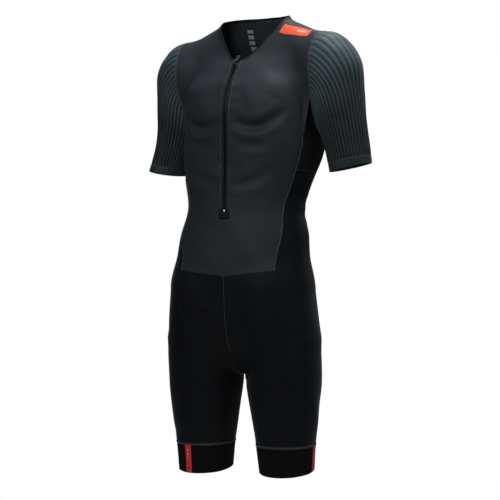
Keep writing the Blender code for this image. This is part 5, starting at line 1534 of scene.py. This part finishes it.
place_ = frame_at(SLIDER_Z, 0.0008)
body_outline = [(-BODY_HALF_W, -BODY_HALF_L), (BODY_HALF_W, -BODY_HALF_L), (BODY_HALF_W, BODY_HALF_L * 0.6),
                (BODY_HALF_W * 0.6, BODY_HALF_L), (-BODY_HALF_W * 0.6, BODY_HALF_L), (-BODY_HALF_W, BODY_HALF_L * 0.6)]
slider_top = pillow("slider_plate", rounded(body_outline, 0.0012, 4), (0.0, BODY_H), place_, METAL, 0.0005)
bridge = []
for s_ in (-1, 1):
    x0 = s_ * (BODY_HALF_W - 0.0002 - POST_W / 2)
    bridge.append(pillow("slider_post", rounded([(x0 - POST_W / 2, -BAR_HALF_T), (x0 + POST_W / 2, -BAR_HALF_T), (x0 + POST_W / 2, BAR_HALF_T), (x0 - POST_W / 2, BAR_HALF_T)], 0.0004, 3),
                         (BODY_H - 0.0004, BAR_OUT + BAR_HALF_H), place_, METAL, 0.0003))
bar = pillow("slider_bar", rounded([(-BAR_HALF_T, -BAR_HALF_H), (BAR_HALF_T, -BAR_HALF_H), (BAR_HALF_T, BAR_HALF_H), (-BAR_HALF_T, BAR_HALF_H)], 0.0004, 3),
             (-(BODY_HALF_W - 0.0002), BODY_HALF_W - 0.0002), (place_[0] + place_[3] * BAR_OUT, place_[1], place_[2], place_[3]), METAL, 0.0002, axes=(1, 2, 0))
add(slider_top, "zip_slider")
for ob in bridge + [bar]:
    add(ob)

# the pull tab: a flat moulded tab with grip bars
pivot = place_[0] + place_[3] * BAR_OUT
a_ = math.radians(TAB_REST)
tab_place = (pivot, np.array([1.0, 0, 0]), np.array([0, math.cos(a_), math.sin(a_)]), np.array([0, -math.sin(a_), math.cos(a_)]))
outline = rounded([(x, y) for x, y in TAB_SHAPE] + [(-x, y) for x, y in TAB_SHAPE[::-1]], 0.0011, 4)
add(pillow("pull_tab", outline, (-TAB_T / 2, TAB_T / 2), tab_place, PULL, 0.00045), "zip_pull_tab", body="zip_pull")
eye_ring = Joined()
rings = []
for t in np.linspace(0, 2 * math.pi, 30, endpoint=False):
    c_ = np.array([math.cos(t), math.sin(t)])
    mid_r, half_r = (EYE_OUT_R + EYE_IN_R) / 2, (EYE_OUT_R - EYE_IN_R) / 2
    rings.append([tab_place[0] + tab_place[2] * c_[0] * (mid_r + half_r * a) + tab_place[3] * c_[1] * (mid_r + half_r * a) + tab_place[1] * b
                  for a, b in ((1, -EYE_HALF * 0.7), (0.7, -EYE_HALF), (-0.7, -EYE_HALF), (-1, -EYE_HALF * 0.7), (-1, EYE_HALF * 0.7), (-0.7, EYE_HALF), (0.7, EYE_HALF), (1, EYE_HALF * 0.7))])
eye_ring.tube(np.array(rings), True)
add(eye_ring.done("pull_eye", PULL, 40), body="zip_pull")
for k, y in enumerate(np.linspace(0.0115, 0.0225, 6)):
    bar_outline = rounded([(-0.0031, y - 0.00045), (0.0031, y - 0.00045), (0.0031, y + 0.00045), (-0.0031, y + 0.00045)], 0.0003, 3)
    add(pillow("pull_grip_%d" % k, bar_outline, (-TAB_T / 2 - 0.0003, TAB_T / 2 + 0.0003), tab_place, PULL, 0.00025), body="zip_pull")

# ================================================================ label, tabs and marks
add(patch("label", label_grid(40, 20), ORANGE, 0.0006, 0.0004), "shoulder_label")
for k, (u0, u1) in enumerate(((0.56, 0.61), (0.64, 0.68), (0.71, 0.78), (0.81, 0.86))):
    add(patch("label_mark_%d" % k, part_of(label_grid, u0, u1, 0.42, 0.60, 8, 6), ORANGE_MARK, 0.0001, 0.00102))
for name, (side, b0, b1) in LEG_TABS.items():
    add(patch(name.replace("leg_tab", "tab"), leg_tab_grid(side, b0, b1, 16, 30), RED, 0.0006, 0.0006), name)
    for k, (v0, v1) in enumerate(((0.16, 0.22), (0.28, 0.38), (0.44, 0.50))):
        g = part_of(lambda s_, c0, c1, nu, nv: leg_tab_grid(s_, c0, c1, nu, nv), 0.42, 0.60, v0, v1, 6, 8, side, b0, b1)
        add(patch("%s_mark_%d" % (name.replace("leg_tab", "tab"), k), g, RED_MARK, 0.0001, 0.00122))

# plain dashes printed inside the back of the neck
for k, (z0, z1) in enumerate(((-0.012, -0.005), (-0.024, -0.016), (-0.035, -0.028), (-0.047, -0.039))):
    zs = np.linspace(z0, z1, 6)
    g = np.stack([leave(np.stack([0 * zs + x, 0 * zs, zs], -1), (0, 1, 0)) for x in np.linspace(-0.0530, -0.0430, 7)])
    flat = g.reshape(-1, 3)
    nrm = normals(flat)
    inner_ = flat + nrm * (drape(flat) - SHELL - 0.0002)[:, None]
    g2 = pose(inner_).reshape(g.shape)
    g3 = pose(inner_ - nrm * 0.0001).reshape(g.shape)
    idx = np.arange(len(flat)).reshape(g.shape[:2])
    f = np.stack([idx[:-1, :-1], idx[1:, :-1], idx[1:, 1:], idx[:-1, 1:]], -1).reshape(-1, 4)
    m_ = len(flat)
    c = np.cross(g3.reshape(-1, 3)[f[:, 2]] - g3.reshape(-1, 3)[f[:, 0]], g3.reshape(-1, 3)[f[:, 3]] - g3.reshape(-1, 3)[f[:, 1]])
    if (c * -nrm[f[:, 0]]).sum() < 0:
        f = f[:, ::-1]
    sides = [[int(b), int(a), int(a) + m_, int(b) + m_] for a, b in boundary(f)]
    add(mesh_object("neck_print_%d" % k, np.concatenate([g3.reshape(-1, 3), g2.reshape(-1, 3)]), f.tolist() + (f[:, ::-1] + m_).tolist() + sides, None, PRINT))


def cut(name, held="stretched", with_pieces=()):
    """Reads a sheet's vertices and cloth coordinates, and does nothing with them."""
    me = made[name].data
    co = np.empty(len(me.vertices) * 3)
    me.vertices.foreach_get("co", co)
    co = co.reshape(-1, 3)
    uv = np.empty(len(me.uv_layers[0].data) * 2)
    me.uv_layers[0].data.foreach_get("uv", uv)
    uv = uv.reshape(-1, 2)


# width and length each piece was cut to, flat, in metres
CUTS = {
    "front": (0.40, 0.54), "back": (0.42, 0.56), "insert_left": (0.12, 0.15), "insert_right": (0.12, 0.15),
    "legpiece_left": (0.56, 0.58), "legpiece_right": (0.56, 0.58), "pelvic_piece_left": (0.13, 0.22), "pelvic_piece_right": (0.13, 0.22),
    "gripper_left": (0.36, 0.055), "gripper_right": (0.36, 0.055), "binding": (0.50, 0.012),
    "sleeve_piece_left": (0.34, 0.27), "sleeve_piece_right": (0.34, 0.27),
}
if True:
    cut("front", with_pieces=[made["seam_bands"], made["seam_threads"], made["seam_threads_dark"]])
    for name in CUTS:
        if name != "front":
            cut(name)

# ================================================================ stage, camera and light
scene = bpy.context.scene
FLOOR_Z, DISTANCE, AZIMUTH, AIM_Z = -1.30, 3.2, 32.3, -0.475
bpy.ops.mesh.primitive_circle_add(vertices=96, radius=14.0, fill_type="NGON", location=(0, 0, FLOOR_Z))
floor = bpy.context.object
floor.name = "floor"
pale = Nodes("pale floor")
spot = pale.place(1.0)
pale_noise = pale.noise(spot, 0.8, 2.0, 0.5)
far_out = pale.tree.nodes.new("ShaderNodeVectorMath")
far_out.operation = "LENGTH"
pale.link(spot, far_out.inputs[0])
away = pale.maths("MULTIPLY", far_out.outputs["Value"], 0.4)
white_out = pale.ramp(away, [(0.20, (0.78, 0.78, 0.78, 1)), (0.72, (1, 1, 1, 1))])
under = pale.ramp(away, [(0.20, (0.60, 0.60, 0.60, 1)), (0.72, (0, 0, 0, 1))])
seen = pale.tree.nodes.new("ShaderNodeLightPath")
pale.link(seen.outputs["Is Camera Ray"], pale.bsdf.inputs["Emission Strength"])
pale.link(white_out, pale.bsdf.inputs["Emission Color"])
faded = pale.tree.nodes.new("ShaderNodeMix")
faded.data_type, faded.blend_type = "RGBA", "MULTIPLY"
faded.inputs[0].default_value = 1.0
pale.link(pale.ramp(pale_noise, [(0.3, (0.96, 0.96, 0.96, 1)), (0.7, (1.0, 1.0, 1.0, 1))]), faded.inputs[6])
pale.link(under, faded.inputs[7])
floor.data.materials.append(pale.finish(faded.outputs[2], None, None))
pale.set(Roughness=0.9, Specular_IOR_Level=0.0)

world = bpy.data.worlds.new("studio")
scene.world = world
world.use_nodes = True
wt = world.node_tree
bg = wt.nodes["Background"]
bg.inputs["Color"].default_value, bg.inputs["Strength"].default_value = (1.0, 1.0, 1.0, 1), 0.036
white = wt.nodes.new("ShaderNodeBackground")
white.inputs["Color"].default_value, white.inputs["Strength"].default_value = (1, 1, 1, 1), 1.0
path, mixed = wt.nodes.new("ShaderNodeLightPath"), wt.nodes.new("ShaderNodeMixShader")
wt.links.new(path.outputs["Is Camera Ray"], mixed.inputs[0])
wt.links.new(bg.outputs[0], mixed.inputs[1])
wt.links.new(white.outputs[0], mixed.inputs[2])
wt.links.new(mixed.outputs[0], wt.nodes["World Output"].inputs["Surface"])


def softbox(name, at, aim, size, power, colour=(1, 1, 1)):
    data = bpy.data.lights.new(name, "AREA")
    data.shape, data.size, data.size_y, data.energy, data.color = "RECTANGLE", size[0], size[1], power, colour
    ob = bpy.data.objects.new(name, data)
    ob.location = at
    ob.rotation_euler = (Vector(aim) - Vector(at)).to_track_quat("-Z", "Y").to_euler()
    scene.collection.objects.link(ob)


b_ = math.radians(AZIMUTH)
BACK_WAY, RIGHT_WAY = np.array([math.sin(b_), -math.cos(b_), 0]), np.array([math.cos(b_), math.sin(b_), 0])


def by_camera(right, toward, up_):
    """A place by the camera's own directions: metres to its right, towards it and up."""
    return tuple(RIGHT_WAY * right + BACK_WAY * toward + np.array([0, 0, up_]))


COOL = (0.92, 0.97, 1.0)
softbox("key", by_camera(-0.95, 1.90, 1.05), (0, 0, -0.30), (0.9, 0.9), 25, COOL)
softbox("fill", by_camera(2.1, 1.7, 0.20), (0, 0, -0.42), (1.0, 1.2), 7.5, COOL)
softbox("top", by_camera(0.50, -0.05, 1.45), (0, 0, -0.1), (1.2, 0.7), 36, COOL)
softbox("rim", by_camera(1.9, -2.0, 0.9), (0, 0, -0.3), (1.2, 1.6), 5, COOL)
softbox("behind", by_camera(-0.3, -2.9, 0.5), (0, 0, -0.45), (2.0, 1.8), 42, COOL)

camera_data = bpy.data.cameras.new("camera")
camera_data.sensor_width, camera_data.lens = 36.0, 110.3
camera = bpy.data.objects.new("camera", camera_data)
camera.location = Vector(by_camera(-0.0102, DISTANCE, AIM_Z))
camera.rotation_euler = (math.radians(90), 0, b_)
camera_data.clip_end = 60
scene.collection.objects.link(camera)
scene.camera = camera
scene.view_settings.view_transform = "Standard"
scene.view_settings.look = "None"
